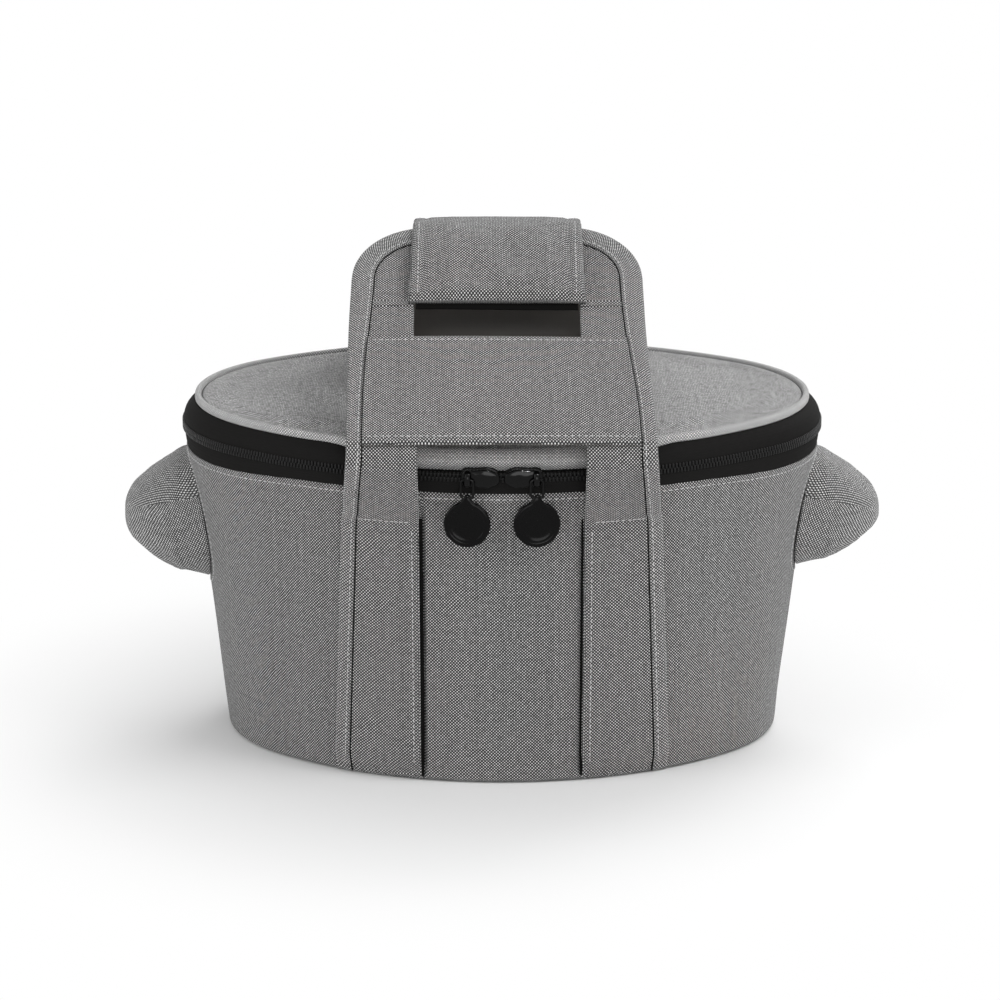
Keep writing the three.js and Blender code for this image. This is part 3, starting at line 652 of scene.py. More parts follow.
def inside_outline(points, outline):
    ends = np.roll(outline, -1, 0)
    x, y = points[:, :1], points[:, 1:]
    crosses = (outline[:, 1] > y) != (ends[:, 1] > y)
    rise = np.where(ends[:, 1] == outline[:, 1], 1e-9, ends[:, 1] - outline[:, 1])
    at = outline[:, 0] + (y - outline[:, 1]) * (ends[:, 0] - outline[:, 0]) / rise
    return (crosses & (x < at)).sum(1) % 2 == 1


def fill(outline, spacing):
    """Triangles over a flat outline, with points inside it on an even grid."""
    low, high = outline.min(0), outline.max(0)
    columns = np.arange(low[0] + spacing / 2, high[0], spacing)
    rows = np.arange(low[1] + spacing / 2, high[1], spacing)
    inner = np.stack(np.meshgrid(columns, rows), -1).reshape(-1, 2)
    inner = inner[inside_outline(inner, outline)]
    gaps = np.min([np.hypot(*(inner - point).T) for point in outline], 0)
    inner = inner[gaps > 0.55 * spacing]
    count = len(outline)
    flat = [Vector(point) for point in np.concatenate([outline, inner])]
    edges = [(i, (i + 1) % count) for i in range(count)]
    points, _, faces, *_ = delaunay_2d_cdt(flat, edges, [], 1, 1e-6)
    return np.array([tuple(point) for point in points]), faces


def laid(surface, flat, lift):
    """Points of a surface at flat places, with one lift off it or one for each."""
    return surface(flat[:, 0], flat[:, 1], np.broadcast_to(np.asarray(lift, float), len(flat)))


def panel(piece, outline, surface, near, far, spacing=4.0, rounding=0.8, number=0, back_number=None):
    """Cloth of a given outline on a surface, between two lifts off it, with rounded edges."""
    if back_number is None:
        back_number = number
    flat, faces = fill(inset(outline, rounding), spacing)
    piece.add(laid(surface, flat, far), faces, flat, number)
    piece.add(laid(surface, flat, near), [face[::-1] for face in faces], flat, back_number)
    shares = ((1.0, 1.0), (0.25, 0.85), (0.0, 0.5), (0.25, 0.15), (1.0, 0.0))
    places = np.stack([inset(outline, rounding * draw) for draw, _ in shares])
    points = np.stack([laid(surface, edge, mix(near, far, lift)) for edge, (_, lift) in zip(places, shares)])
    piece.grid(points[:3], places[:3], number, wrap_columns=True, flip=True)
    piece.grid(points[2:], places[2:], back_number, wrap_columns=True, flip=True)


def edge_normals(path):
    step = unit(np.gradient(path, axis=0))
    return np.stack([-step[:, 1], step[:, 0]], -1)


def binding(piece, path, widths, thickness, back):
    """Strip folded over the edge of a strap or handle, with a narrow near-black flange along its inner side
    that is painted shade of the seam.

    The cloth lies to the left of the path, and back says how far the strip wraps behind it.
    """
    inward = edge_normals(path)
    run = run_along(path)
    behind = np.minimum(back, 1.0)
    section = [
        (widths, thickness - 0.2),
        (widths, thickness + 0.7),
        (widths - 0.5, thickness + BINDING_RISE),
        (0.5 * widths, thickness + 1.3),
        (0.8, thickness + BINDING_RISE),
        (-0.5, thickness + 0.5),
        (-0.8, 0.5 * thickness),
        (-0.5, 0.1 - 0.5 * behind),
        (0.8, 0.05 - 1.0 * behind),
        (1.0 + back, 0.05 - 0.9 * behind),
        (1.3 + back, 0.3),
    ]
    # Flange past the binding's inner edge, in the near-black material: painted shade of the seam line.
    shade_flange = [
        (widths - 0.3, thickness + 0.3),
        (widths + 0.35, thickness + 0.16),
        (widths + 0.8, thickness - 0.1),
    ]
    steps = section + shade_flange
    draws, lifts = (np.stack([np.broadcast_to(step[i], len(path)) for step in steps]) for i in (0, 1))
    points = np.stack([laid(strap_surface, path + inward * draw[:, None], lift)
                       for draw, lift in zip(draws, lifts)])
    count = len(section)
    changes = (np.diff(part[:count], axis=0, prepend=part[:1]) for part in (draws, lifts))
    across = np.hypot(*changes).cumsum(0)
    places = np.stack([across, np.broadcast_to(run, across.shape)], -1)
    piece.grid(points[:count], places, STRAP_EDGE, wrap_rows=True, flip=True)
    piece.grid(points[count:], places[:len(shade_flange)], STRAP_PAINTED_SHADE)
    for column, order in ((0, 1), (-1, -1)):
        piece.add(points[:count, column], [list(range(count))[::order]], places[:, column], STRAP_EDGE)


def tube_faces(count, rows, corners, flip=False):
    """Faces of equal tubes with closed ends, each of some rows of corners."""
    turn = -1 if flip else 1
    index = np.arange(rows * corners).reshape(rows, corners)
    sides = np.stack([index[:-1], np.roll(index[:-1], -1, 1), np.roll(index[1:], -1, 1), index[1:]], -1)
    firsts = np.arange(count) * rows * corners
    faces = (sides.reshape(-1, 4)[:, ::turn] + firsts[:, None, None]).reshape(-1, 4).tolist()
    for first in firsts:
        faces.append((index[0] + first)[::-turn].tolist())
        faces.append((index[-1] + first)[::turn].tolist())
    return faces


def stitches(piece, path, surface, lift, number=1, pitch=3.2, length=2.2, width=0.27):
    """Row of separate sewn stitches along a path on a surface."""
    path = np.asarray(path, float)
    run = run_along(path)
    starts = np.arange(pitch / 2, run[-1] - length, pitch)
    starts = starts + 0.16 * pitch * np.sin(starts * 1.9)
    shares = np.array([0.0, 0.14, 0.5, 0.86, 1.0])
    swell = np.array([0.25, 0.9, 1.0, 0.9, 0.25])
    rise = np.array([-0.75, 0.3, 0.6, 0.3, -0.75])
    at = starts[:, None] + shares * length
    flat = np.stack([np.interp(at.ravel(), run, path[:, i]) for i in (0, 1)], -1)
    middle, above = (laid(surface, flat, lift + more).reshape(*at.shape, 3) for more in (0, 1))
    normal = unit(above - middle)
    along = unit(middle[:, -1:] - middle[:, :1])
    aside = unit(np.cross(normal, np.broadcast_to(along, normal.shape)))
    corners = 5
    turn = 2 * math.pi * np.arange(corners) / corners
    centre = middle + normal * (rise * width)[None, :, None]
    spread = (swell * width)[None, :, None, None]
    ring = aside[:, :, None] * np.cos(turn)[:, None] + normal[:, :, None] * np.sin(turn)[:, None]
    places = np.stack([np.tile(turn, at.size), np.repeat(at.ravel(), corners)], -1)
    piece.add(centre[:, :, None] + ring * spread, tube_faces(*at.shape, corners), places, number)


# Surface of a strap and handle, from the foot of the tub up the wall, out along the tab and up the handle
def strap_half(run):
    on_wall = mix(STRAP_HALF_AT_BASE, STRAP_HALF_AT_STITCH, np.clip(run / STITCH_HEIGHT, 0, 1))
    on_tab = mix(STRAP_HALF_AT_STITCH, HANDLE_HALF_AT_BEND, np.clip((run - STITCH_HEIGHT) / TAB_RUN, 0, 1))
    return np.where(run < STITCH_HEIGHT, on_wall, on_tab)


def front_wall_depth(x, z):
    return np.sqrt((FRONT_RADIUS + wall_offset(z) + CLEARANCE) ** 2 - x**2) - FRONT_CENTRE


def strap_raw(x, run):
    z_wall = np.minimum(run, STITCH_HEIGHT)
    y_wall = -front_wall_depth(x, z_wall)
    turn = np.clip(run / FOOT_RUN, 0, 1) * math.pi / 2
    under = run < FOOT_RUN
    y_wall = np.where(under, y_wall + FOOT_RADIUS * (1 - np.sin(turn)), y_wall)
    z_wall = np.where(under, 0.45 + (FOOT_RUN - 0.45) * (1 - np.cos(turn)), z_wall)
    up = np.clip((run - STITCH_HEIGHT) / TAB_RUN, 0, 1)
    depth = mix(front_wall_depth(x, STITCH_HEIGHT), BEND_DEPTH, up) + 4 * TAB_BULGE * up * (1 - up)
    past = np.maximum(run - BEND_RUN, 0)
    on_wall = run < STITCH_HEIGHT
    y = np.where(on_wall, y_wall, -depth + past * math.cos(HANDLE_SLOPE))
    z = np.where(on_wall, z_wall, mix(STITCH_HEIGHT, BEND_HEIGHT, up) + past * math.sin(HANDLE_SLOPE))
    return np.stack([x, y, z], -1)


def strap_middle(x, run):
    """Inner face of the cloth, eased where it turns at the stitching and at the bend."""
    reach = 0.5 + 6.0 * bell(run, BEND_RUN, 14) + 2.5 * bell(run, STITCH_HEIGHT, 9)
    shifts = np.linspace(-1, 1, 9)
    points = np.mean([strap_raw(x, run + shift * reach) for shift in shifts], 0)
    ease = wall_ease(x, points[:, 1], points[:, 2]) * (1 - smooth(STITCH_HEIGHT - 14, STITCH_HEIGHT, run))
    points[:, 1] -= ease
    return points


def strap_surface(x, run, lift):
    x, run, lift = (np.asarray(value, float) for value in (x, run, lift))
    middle = strap_middle(x, run)
    across = strap_middle(x + 0.5, run) - strap_middle(x - 0.5, run)
    along = strap_middle(x, run + 0.5) - strap_middle(x, run - 0.5)
    normal = unit(np.cross(across, along))
    wave = 0.35 * np.sin(x / 23 + run / 31) * smooth(BEND_RUN, BEND_RUN + 30, run)
    thinned = lift * mix(0.1, 1.0, smooth(0, 15, run))
    return middle + normal * (thinned + wave)[:, None]


def handle_surface(x, along, lift):
    return strap_surface(x, np.asarray(along, float) + BEND_RUN, lift)


def handle_half(along):
    return mix(HANDLE_HALF_AT_BEND, HANDLE_HALF_AT_TOP, np.clip(along / HANDLE_SHOULDER, 0, 1))


def handle_binding_width(along):
    return mix(BINDING_WIDTH, BINDING_WIDTH_TOP, smooth(0.2 * HANDLE_SHOULDER, HANDLE_SHOULDER, along))


def corner_arc(x, run, radius, start, end, steps):
    turn = np.linspace(start, end, steps)
    return [np.array([x + radius * math.cos(t), run + radius * math.sin(t)]) for t in turn]


def frame_edge(corner):
    """Outer edge of the handle, from the right leg over the top to the left leg."""
    top = BEND_RUN + HANDLE_LENGTH
    shoulder = top - corner
    middle = HANDLE_HALF_AT_TOP - corner
    foot = SPLIT_RUN - LAP
    half = float(strap_half(np.array(foot)))
    right = spaced([(half, foot), (HANDLE_HALF_AT_BEND, BEND_RUN)], 2.5, False)[:-1]
    leg = spaced([(HANDLE_HALF_AT_BEND, BEND_RUN), (HANDLE_HALF_AT_TOP, shoulder)], 3.0, False)[:-1]
    turn = corner_arc(middle, shoulder, corner, 0, math.pi / 2, 30)
    half_edge = np.concatenate([right, leg, turn, spaced([turn[-1], (0, top)], 4.0, False)[1:]])
    return np.concatenate([half_edge, mirrored(half_edge)[1:]])


def frame_inner_edge():
    """Inner edge of the legs and of the grip, from the left leg to the right leg."""
    top = BEND_RUN + HANDLE_LENGTH - GRIP_BAR
    corner = 4.0
    corners = [(-STRAP_INNER_HALF, SPLIT_RUN - LAP), (-SLOT_HALF, BEND_RUN + 20), (-SLOT_HALF, top - corner)]
    leg = spaced(corners, 3.0, False)
    turn = corner_arc(corner - SLOT_HALF, top - corner, corner, math.pi, math.pi / 2, 5)
    half_edge = np.concatenate([leg[:-1], turn, spaced([turn[-1], (0, top)], 4.0, False)[1:]])
    return np.concatenate([half_edge, mirrored(half_edge)[1:]])


def strap_piece(side):
    """Strap sewn to the wall, with the lower half of its free tab, its bound edge and its stitches."""
    piece = Piece()
    foot_runs = np.arange(0.6, FOOT_RUN, 0.9)
    runs = np.concatenate([foot_runs, np.arange(FOOT_RUN + 1, SPLIT_RUN, 3.0), [SPLIT_RUN + LAP]])
    edge = np.stack([strap_half(runs), runs], -1)
    inner = np.stack([np.full(len(runs), STRAP_INNER_HALF), runs], -1)[::-1]
    foot = between(inner[-1], edge[0], 3.0)
    head = between(edge[-1], inner[0], 3.0)
    outline = np.concatenate([edge, head, inner, foot])
    if side < 0:
        outline = mirrored(outline)
        edge = mirrored(edge)
    panel(piece, outline, strap_surface, 0.0, STRAP_THICKNESS, 4.0, STRAP_ROUNDING)
    free = smooth(STITCH_HEIGHT, SPLIT_RUN, edge[:, 1]) * BINDING_BACK
    bound_edge = np.stack([edge[:, 0], np.minimum(edge[:, 1], SPLIT_RUN)], -1)
    binding(piece, bound_edge, BINDING_WIDTH, STRAP_THICKNESS, free)
    hidden = runs[(runs > 1.5) & (runs < STITCH_HEIGHT - 1)]
    # Near-black strip in the channel along the strap's inner edge, just below its face: painted shade of the
    # gap between strap and wall.
    shade_strip = []
    places = []
    for step, (out, lift) in enumerate(((0.7, -0.9), (-0.3, -1.4), (-1.3, -1.6))):
        row = np.stack([np.full(len(hidden), side * (STRAP_INNER_HALF + out)), hidden], -1)
        shade_strip.append(laid(strap_surface, row, lift))
        places.append(np.stack([np.full(len(hidden), step), hidden], -1))
    piece.grid(np.stack(shade_strip), np.stack(places), STRAP_PAINTED_SHADE, flip=side < 0)
    sewn = runs[(runs > 9) & (runs < STITCH_HEIGHT - 2)]
    row = np.stack([np.full(len(sewn), side * (STRAP_INNER_HALF + STITCH_INSET)), sewn], -1)
    stitches(piece, row, strap_surface, STRAP_THICKNESS, STRAP_THREAD)
    bound = runs[(runs > 9) & (runs < SPLIT_RUN - 1)]
    row = np.stack([side * (strap_half(bound) - BINDING_WIDTH + BINDING_STITCH_INSET), bound], -1)
    stitches(piece, row, strap_surface, STRAP_THICKNESS + BINDING_RISE, STRAP_THREAD)
    box_run = STITCH_HEIGHT - 2
    box_ends = [(STRAP_INNER_HALF + STITCH_INSET, box_run), (STRAP_HALF_AT_STITCH - 7.5, box_run)]
    row = spaced(box_ends, 3.0, False) * np.array([side, 1.0])
    stitches(piece, row, strap_surface, STRAP_THICKNESS, STRAP_THREAD, pitch=2.7, width=0.32)
    return piece


def frame_piece(corner):
    """Handle of doubled cloth: the upper halves of the tabs, the legs and the grip, with the bound edge."""
    piece = Piece()
    edge = frame_edge(corner)
    inner = frame_inner_edge()
    left_foot = between(edge[-1], inner[0], 3.0)
    right_foot = between(inner[-1], edge[0], 3.0)
    outline = np.concatenate([edge, left_foot, inner, right_foot])
    panel(piece, outline, strap_surface, 0.0, STRAP_THICKNESS, 4.0, STRAP_ROUNDING, 0, HANDLE_BACK)
    widths = handle_binding_width(edge[:, 1] - BEND_RUN)
    bound_edge = np.stack([edge[:, 0], np.maximum(edge[:, 1], SPLIT_RUN)], -1)
    binding(piece, bound_edge, widths, STRAP_THICKNESS, BINDING_BACK)
    row = edge + edge_normals(edge) * (widths - BINDING_STITCH_INSET)[:, None]
    stitches(piece, row, strap_surface, STRAP_THICKNESS + BINDING_RISE, STRAP_THREAD)
    low, high = BEND_RUN + GRIP_HEM, BEND_RUN + GRIP_HEM + 4.0
    near = SLOT_HALF + 0.4
    far = float(handle_half(np.array(GRIP_HEM))) - BINDING_WIDTH_TOP - 0.2
    hem = spaced([(near, low), (far, low), (far, high), (near, high)], 2.5)
    for outline in (mirrored(hem), hem):
        panel(piece, outline, strap_surface, STRAP_THICKNESS - 0.3, STRAP_THICKNESS + 0.7, 2.5, 0.35)
    return piece


def cross_panel_piece(low, facing_low):
    """Panel sewn across the two legs, faced inside, with a row of stitches along each edge."""
    piece = Piece()

    def half(along):
        return handle_half(along) - handle_binding_width(along) - 0.4

    def bowed(x, along, lift):
        bow = 1.1 * (1 - (x / 72) ** 2) * np.sin(np.pi * np.clip(along / 82, 0, 1))
        return handle_surface(x, along, lift + bow * (lift > PANEL_NEAR + 0.5))

    rises = np.linspace(low, PANEL_HIGH, 27)
    right = np.stack([half(rises), rises], -1)
    left = mirrored(right)
    top = between(right[-1], left[0], 3.0)
    foot = between(left[-1], right[0], 3.0)
    outline = np.concatenate([right, top, left, foot])
    panel(piece, outline, bowed, PANEL_NEAR, PANEL_FAR, 4.0, STRAP_ROUNDING, 0, 1)
    facing = spaced(box_corners(FACING_HALF, facing_low, PANEL_HIGH), 4.0)
    panel(piece, facing, handle_surface, -0.9, -0.3, 5.0, 0.3, 1)
    for along in (low + 3.4, PANEL_HIGH - 3.2):
        reach = float(half(np.array(along))) - 1.0
        stitches(piece, spaced([(-reach, along), (reach, along)], 3.0, False), bowed, PANEL_FAR, 2)
    return piece


def wrap_piece():
    """Padded half of the wrap over the grip, up to the middle between the two handles."""
    piece = Piece()
    low = HANDLE_LENGTH - WRAP_DROP
    cos, sin = math.cos(HANDLE_SLOPE), math.sin(HANDLE_SLOPE)

    def side_view(along, lift):
        y = -BEND_DEPTH + along * cos - lift * sin
        z = BEND_HEIGHT + along * sin + lift * cos
        return np.stack([y, z], -1)

    crest = HANDLE_TOP_HEIGHT + STRAP_THICKNESS + CLEARANCE
    shares = np.linspace(0.0, 1.0, 30)
    far = WRAP_NEAR + WRAP_PADDING
    crown = 4 * WRAP_CROWN * shares * (1 - shares)
    flat = side_view(mix(low, HANDLE_LENGTH, shares), far + crown)[:-4]
    top = np.array([-CLEARANCE / 2, crest + WRAP_CAP])
    knee = np.array([-HANDLE_TOP_GAP * 1.4, crest + WRAP_CAP - 0.35])
    outer = np.concatenate([flat, [mix(flat[-1], knee, 0.55), knee, mix(knee, top, 0.5), top]])
    for _ in range(3):
        outer[1:-1] = 0.25 * outer[:-2] + 0.5 * outer[1:-1] + 0.25 * outer[2:]
    bend = side_view(np.array([HANDLE_LENGTH + CLEARANCE]), np.array([WRAP_NEAR]))
    inner_flat = side_view(np.linspace(low, HANDLE_LENGTH, 24), np.full(24, WRAP_NEAR))
    inner = np.concatenate([inner_flat, bend, [np.array([-CLEARANCE / 2, crest])]])
    run = run_along(outer)
    inner_run = run_along(inner)
    at = np.linspace(0, 1, 40)
    front = np.stack([np.interp(at * run[-1], run, outer[:, i]) for i in (0, 1)], -1)
    back = np.stack([np.interp(at * inner_run[-1], inner_run, inner[:, i]) for i in (0, 1)], -1)
    edges = np.array([-WRAP_HALF, -WRAP_HALF + 0.25, -WRAP_HALF + 0.9])
    band = np.linspace(-WRAP_HALF + 2, -WRAP_SEAM - 1.2, 5)
    groove = np.linspace(-WRAP_SEAM - 0.7, -WRAP_SEAM + 3.4, 10)
    half = np.concatenate([edges, band, groove, np.linspace(-WRAP_SEAM + 5, 0, 14)])
    across = np.concatenate([half, -half[-2::-1]])
    reach = np.abs(across)
    knots = [0, WRAP_SEAM - 14, WRAP_SEAM - 3, WRAP_SEAM, WRAP_SEAM + 1,
             WRAP_HALF - 2, WRAP_HALF - 0.9, WRAP_HALF]
    fullness = np.interp(reach, knots, [1.0, 0.98, 0.84, 0.62, 0.72, 0.72, 0.62, 0.3])
    ends = smooth(0, 0.07, at) * 0.5 + 0.5
    loops = []
    places = []
    for x, full in zip(across, fullness):
        skin = back + (front - back) * (full * ends)[:, None]
        wrinkle = 0.35 * math.sin(x / 9.0) * np.sin(at * 9 + x / 14.0) * (full > 0.6)
        skin[:, 1] += wrinkle * np.sin(np.pi * at)
        trim = 0.5 * max(0.0, 1 - (WRAP_HALF - abs(x)) / 0.9)
        loop = np.concatenate([skin, back[::-1]])
        narrowed = x * (1 - 0.035 * np.concatenate([at, at[::-1]]))
        loops.append(np.concatenate([narrowed[:, None], loop], 1))
        places.append(np.stack([np.full(len(loop), x + trim), np.concatenate([at, 2 - at]) * run[-1]], -1))
    points, cloth = np.stack(loops), np.stack(places)
    piece.grid(points, cloth, 0, wrap_columns=True)
    skin_share = np.concatenate([smooth(0.03, 0.15, at) * (1 - smooth(0.8, 0.95, at)), 0 * at])
    piece.loose[0] = (1 - smooth(WRAP_SEAM - 7, WRAP_SEAM - 1.5, reach))[:, None] * skin_share
    last = points.shape[1]
    piece.add(points[0], [list(range(last))[::-1]], cloth[0])
    piece.add(points[-1], [list(range(last))], cloth[-1])
    for side in (-1, 1):
        column = int(np.argmin(np.abs(across - side * (WRAP_SEAM + 2.2))))

        def on_skin(x, share, lift, column=column):
            line = points[column, :len(at), 1:]
            here, ahead = (np.stack([np.interp(share / run[-1] + step, at, line[:, i]) for i in (0, 1)], -1)
                           for step in (0.0, 0.02))
            tangent = ahead - here
            tangent /= np.maximum(np.linalg.norm(tangent, axis=-1, keepdims=True), 1e-6)
            normal = np.stack([-tangent[..., 1], tangent[..., 0]], -1)
            return np.concatenate([x[:, None], here + normal * lift[:, None]], 1)

        row = spaced([(across[column], 3.0), (across[column], run[-1] * 0.93)], 3.0, False)
        stitches(piece, row, on_skin, 0.05, 1)
    return piece


def slab(low, high, half, near, far, rounding=0.6):
    piece = Piece()
    panel(piece, spaced(box_corners(half, low, high), 3.0), handle_surface, near, far, 5.0, rounding)
    return piece


# Tub
def wall_arcs(middle):
    """Steps along half of the oval, closer together at the channels beside the straps."""
    even = np.linspace(-QUARTER, QUARTER, 201)
    fine = np.arange(36.0, 51.0, 0.45)
    return middle + np.unique(np.concatenate([even, fine, -fine]))


def end_arc(y, offset):
    """Arc length at which the right end of the oval, moved out by an offset, has a given depth."""
    angle = np.arccos(np.clip(-y / (END_RADIUS + offset), -1, 1))
    return FRONT_ARC + END_RADIUS * (angle - FRONT_ANGLE)


def tub_wall_piece():
    piece = Piece()
    turn = np.linspace(0, math.pi / 2, 6)
    base = float(wall_offset(0))
    out = base - FOOT_RADIUS + (FOOT_RADIUS + 0.4) * np.sin(turn)
    low = list(zip(out, 0.5 + FOOT_RADIUS * (1 - np.cos(turn))))
    heights = np.concatenate([np.linspace(7.5, 158, 52), [160.0, 161.5, 162.4]])
    side = [(float(wall_offset(z)) + WALL_PROUD, z) for z in heights]
    rim = [(0.0, 163.0), (-0.5, 163.5), (-1.2, 163.6), (-2.2, 163.4)]
    inner = [(-5.2, 160.0), (float(wall_offset(8)) - 5.0, 8.0)]
    profile = np.array([(base - 24, 0.7)] + low + side + rim + inner)
    ease = np.ones(len(profile))
    ease[-len(inner):] = 0.0
    for middle in (0.0, 2 * QUARTER):
        sweep(piece, profile, wall_arcs(middle), 0, False, True, ease=ease, rise=wall_sag(profile[:, 1]))
    return piece


def wall_stitches_piece():
    """Rows of stitches below the zip and round the pockets' mouths."""
    piece = Piece()

    def on_wall(arc, z, lift):
        x, y, nx, ny, _ = oval(arc, wall_offset(z) + WALL_PROUD + lift)
        move = wall_ease(x, y, z)
        return np.stack([x + nx * move, y + ny * move, z + wall_sag(z) * end_share(x)], -1)

    top_row = np.stack([ring_arcs(600), np.full(600, TOP_STITCH_HEIGHT)], -1)
    stitches(piece, top_row, on_wall, 0.0, 0, pitch=3.4)
    round_ear = np.linspace(0, 2 * math.pi, 160)
    y = (EAR_ROOT_HALF_WIDTH + MOUTH_STITCH_GAP) * rounded(np.cos(round_ear))
    for side in (-1, 1):
        rise = RIGHT_EAR_RISE * (side > 0) * (np.sin(round_ear) < 0)
        z = EAR_CENTRE_HEIGHT + (EAR_ROOT_HALF_HEIGHT + MOUTH_STITCH_GAP - rise) * rounded(np.sin(round_ear))
        arc = side * end_arc(y, wall_offset(z))
        stitches(piece, np.stack([arc, z], -1), on_wall, 0.0, 0, pitch=3.0)
    return piece


def base_piece():
    piece = Piece()
    outline = oval_outline(wall_offset(0) - 2.6, 240)

    def underside(x, y, lift):
        sag = 0.25 * np.cos(x / 40) * np.cos(y / 36)
        return np.stack([x, y, 0.15 + lift + 0.2 * sag * (lift < 0.5)], -1)

    panel(piece, outline, underside, 0.0, 2.2, 8.0, 1.0)
    return piece


def ear_section(share, inset_by):
    width = mix(EAR_ROOT_HALF_WIDTH, EAR_TIP_HALF_WIDTH, share**3.0) - inset_by
    height = mix(EAR_ROOT_HALF_HEIGHT, EAR_TIP_HALF_HEIGHT, share**1.2) - inset_by
    return width, height


def tub_end_face(y, z, depth):
    radius = END_RADIUS + wall_offset(z) - depth
    return END_CENTRE + np.sqrt(np.maximum(radius**2 - y**2, 1.0))


def ear_skin(side, turn, seams, inset_by, reach, stand):
    """Points of a pocket's cloth over a range of turns about it, drawn in along the seams and at its root."""
    root = HALF_LENGTH + float(wall_offset(EAR_CENTRE_HEIGHT))
    blunt = np.linspace(0.1, math.pi / 2, 14)
    tip = 0.86 + 0.14 * np.sin(blunt)
    shares = np.concatenate([np.linspace(0, 0.03, 5), np.linspace(0.05, 0.86, 26), tip])
    closing = np.concatenate([np.ones(31), np.cos(blunt) ** 0.55])
    roof = np.where(np.sin(turn) > 0, 0.78, 0.6)
    cos, sin = rounded(np.cos(turn), roof), rounded(np.sin(turn), roof)
    rows = []
    for share, close in zip(shares, closing):
        width, height = ear_section(share, inset_by)
        drawn = 1.3 * sum(bell(turn, seam, 1.9 / height) for seam in seams) + 1.5 * bell(share, 0, 0.02)
        full = (1.1 + 0.35 * np.sin(turn * 5 + share * 9)) * math.sin(share * math.pi)
        move = (full - drawn) * (inset_by == 0) * close
        y = (width + move) * cos * close
        rise = RIGHT_EAR_RISE * (side > 0) * (sin < 0)
        z = EAR_CENTRE_HEIGHT + (height + move + 0.04 * height * (sin > 0) - rise) * sin * close
        x = mix(tub_end_face(y, z, stand), root + share * reach, min(1.0, share / 0.25))
        rows.append(np.stack([side * x, y, z], -1))
    return np.stack(rows)


def panel_places(points, grain):
    """Cloth coordinates of a pocket's panel, measured from its middle line, with the grain turned."""
    across = lengths_along(points, 1)
    middle = points.shape[1] // 2
    along = lengths_along(points[:, middle], 0)
    across, along = np.broadcast_arrays(across - across[:, middle:middle + 1], along[:, None])
    cos, sin = math.cos(grain), math.sin(grain)
    return np.stack([across * cos - along * sin, across * sin + along * cos], -1)


def ear_piece(side):
    """Pocket for a pot handle: a gusset over the top, a front and a back, with seams between them."""
    piece = Piece()
    seams = [math.radians(angle) for angle in EAR_SEAMS]
    rows = np.linspace(0, 1, EAR_SIDE_ROWS)
    middle = smooth(0.15, 0.4, rows) * (1 - smooth(0.7, 0.95, rows))
    for low, high in zip(seams, seams[1:]):
        edge = np.linspace(0, math.radians(9), 12)
        turn = np.unique(np.concatenate([low + edge, np.linspace(low, high, 60), high - edge]))
        skin = ear_skin(side, turn, seams, 0.0, EAR_REACH, -0.1)
        share = (turn - low) / (high - low)
        inner = smooth(0.05, 0.3, share) * smooth(0.05, 0.3, 1 - share)
        piece.loose[len(piece.points)] = middle[:, None] * inner
        face, tip = skin[:EAR_SIDE_ROWS], skin[EAR_SIDE_ROWS - 1:]
        piece.grid(face, panel_places(face, EAR_GRAIN), 0, flip=side < 0)
        piece.grid(tip, tip[..., 1:], 0, flip=side < 0)
    turn = np.linspace(0, 2 * math.pi, 97)
    lined = ear_skin(side, turn, [], EAR_CLOTH, EAR_REACH - EAR_CLOTH, PADDING_DEPTH)
    piece.grid(lined, panel_places(lined, 0.0), 1, flip=side > 0)
    return piece


def lining_piece():
    """Inside of the tub: the lined wall, the turned padded rim below the zip and the floor."""
    piece = Piece()
    foot = float(wall_offset(LINING_FLOOR)) - PADDING_DEPTH
    corner = [(foot - 5, LINING_FLOOR), (foot - 1.5, LINING_FLOOR + 1.0), (foot - 0.2, LINING_FLOOR + 3)]
    side = [(float(wall_offset(z)) - PADDING_DEPTH, z) for z in np.linspace(16, 158, 36)]
    rim = [(-8.6, 161.0), (-8.2, 163.4), (-6.8, 164.8), (-4.8, 165.2), (-2.6, 165.0)]
    face = np.array(corner + side + rim)
    back = face[::-1] + np.array([0.9, -0.5])
    profile = np.concatenate([face, back])
    for middle in (0.0, 2 * QUARTER):
        sweep(piece, profile, np.linspace(middle - QUARTER, middle + QUARTER, 161), 0, False, True, flip=True)
    outline = oval_outline(foot - 4.5, 200)

    def floor_face(x, y, lift):
        soft = 0.5 * np.sin(x / 37) * np.sin(y / 33)
        return np.stack([x, y, LINING_FLOOR - 0.9 + lift + soft * 0.5], -1)

    panel(piece, outline, floor_face, 0.0, 0.9, 8.0, 0.4)
    return piece


# Lid
def lid_height(x, y):
    share = np.clip((oval_depth(x, y) - LID_SEAM) / (-END_RADIUS - LID_SEAM), 0, 1)
    dome = LID_DOME * (1 - (1 - share) ** 2)
    ease = 0.45 * np.sin(x / 41 + 0.5) * np.sin(y / 33 + 0.8) + 0.25 * np.sin(x / 19 - y / 23)
    level = BAND_TOP + LID_SEAM_RISE + END_LIFT * end_share(x) - FRONT_FALL * front_share(x, y)
    return level + dome + ease * smooth(0.03, 0.2, share)


def lid_face(x, y, lift):
    x, y, lift = (np.asarray(value, float) for value in (x, y, lift))
    return np.stack([x, y, lid_height(x, y) + lift], -1)


def lid_top_piece():
    piece = Piece()
    panel(piece, oval_outline(LID_SEAM - 0.2, 320), lid_face, -2.0, 0.0, 5.0, 1.1)
    top = piece.points[0]
    piece.loose[0] = smooth(3, 12, LID_SEAM - oval_depth(top[:, 0], top[:, 1]))
    return piece


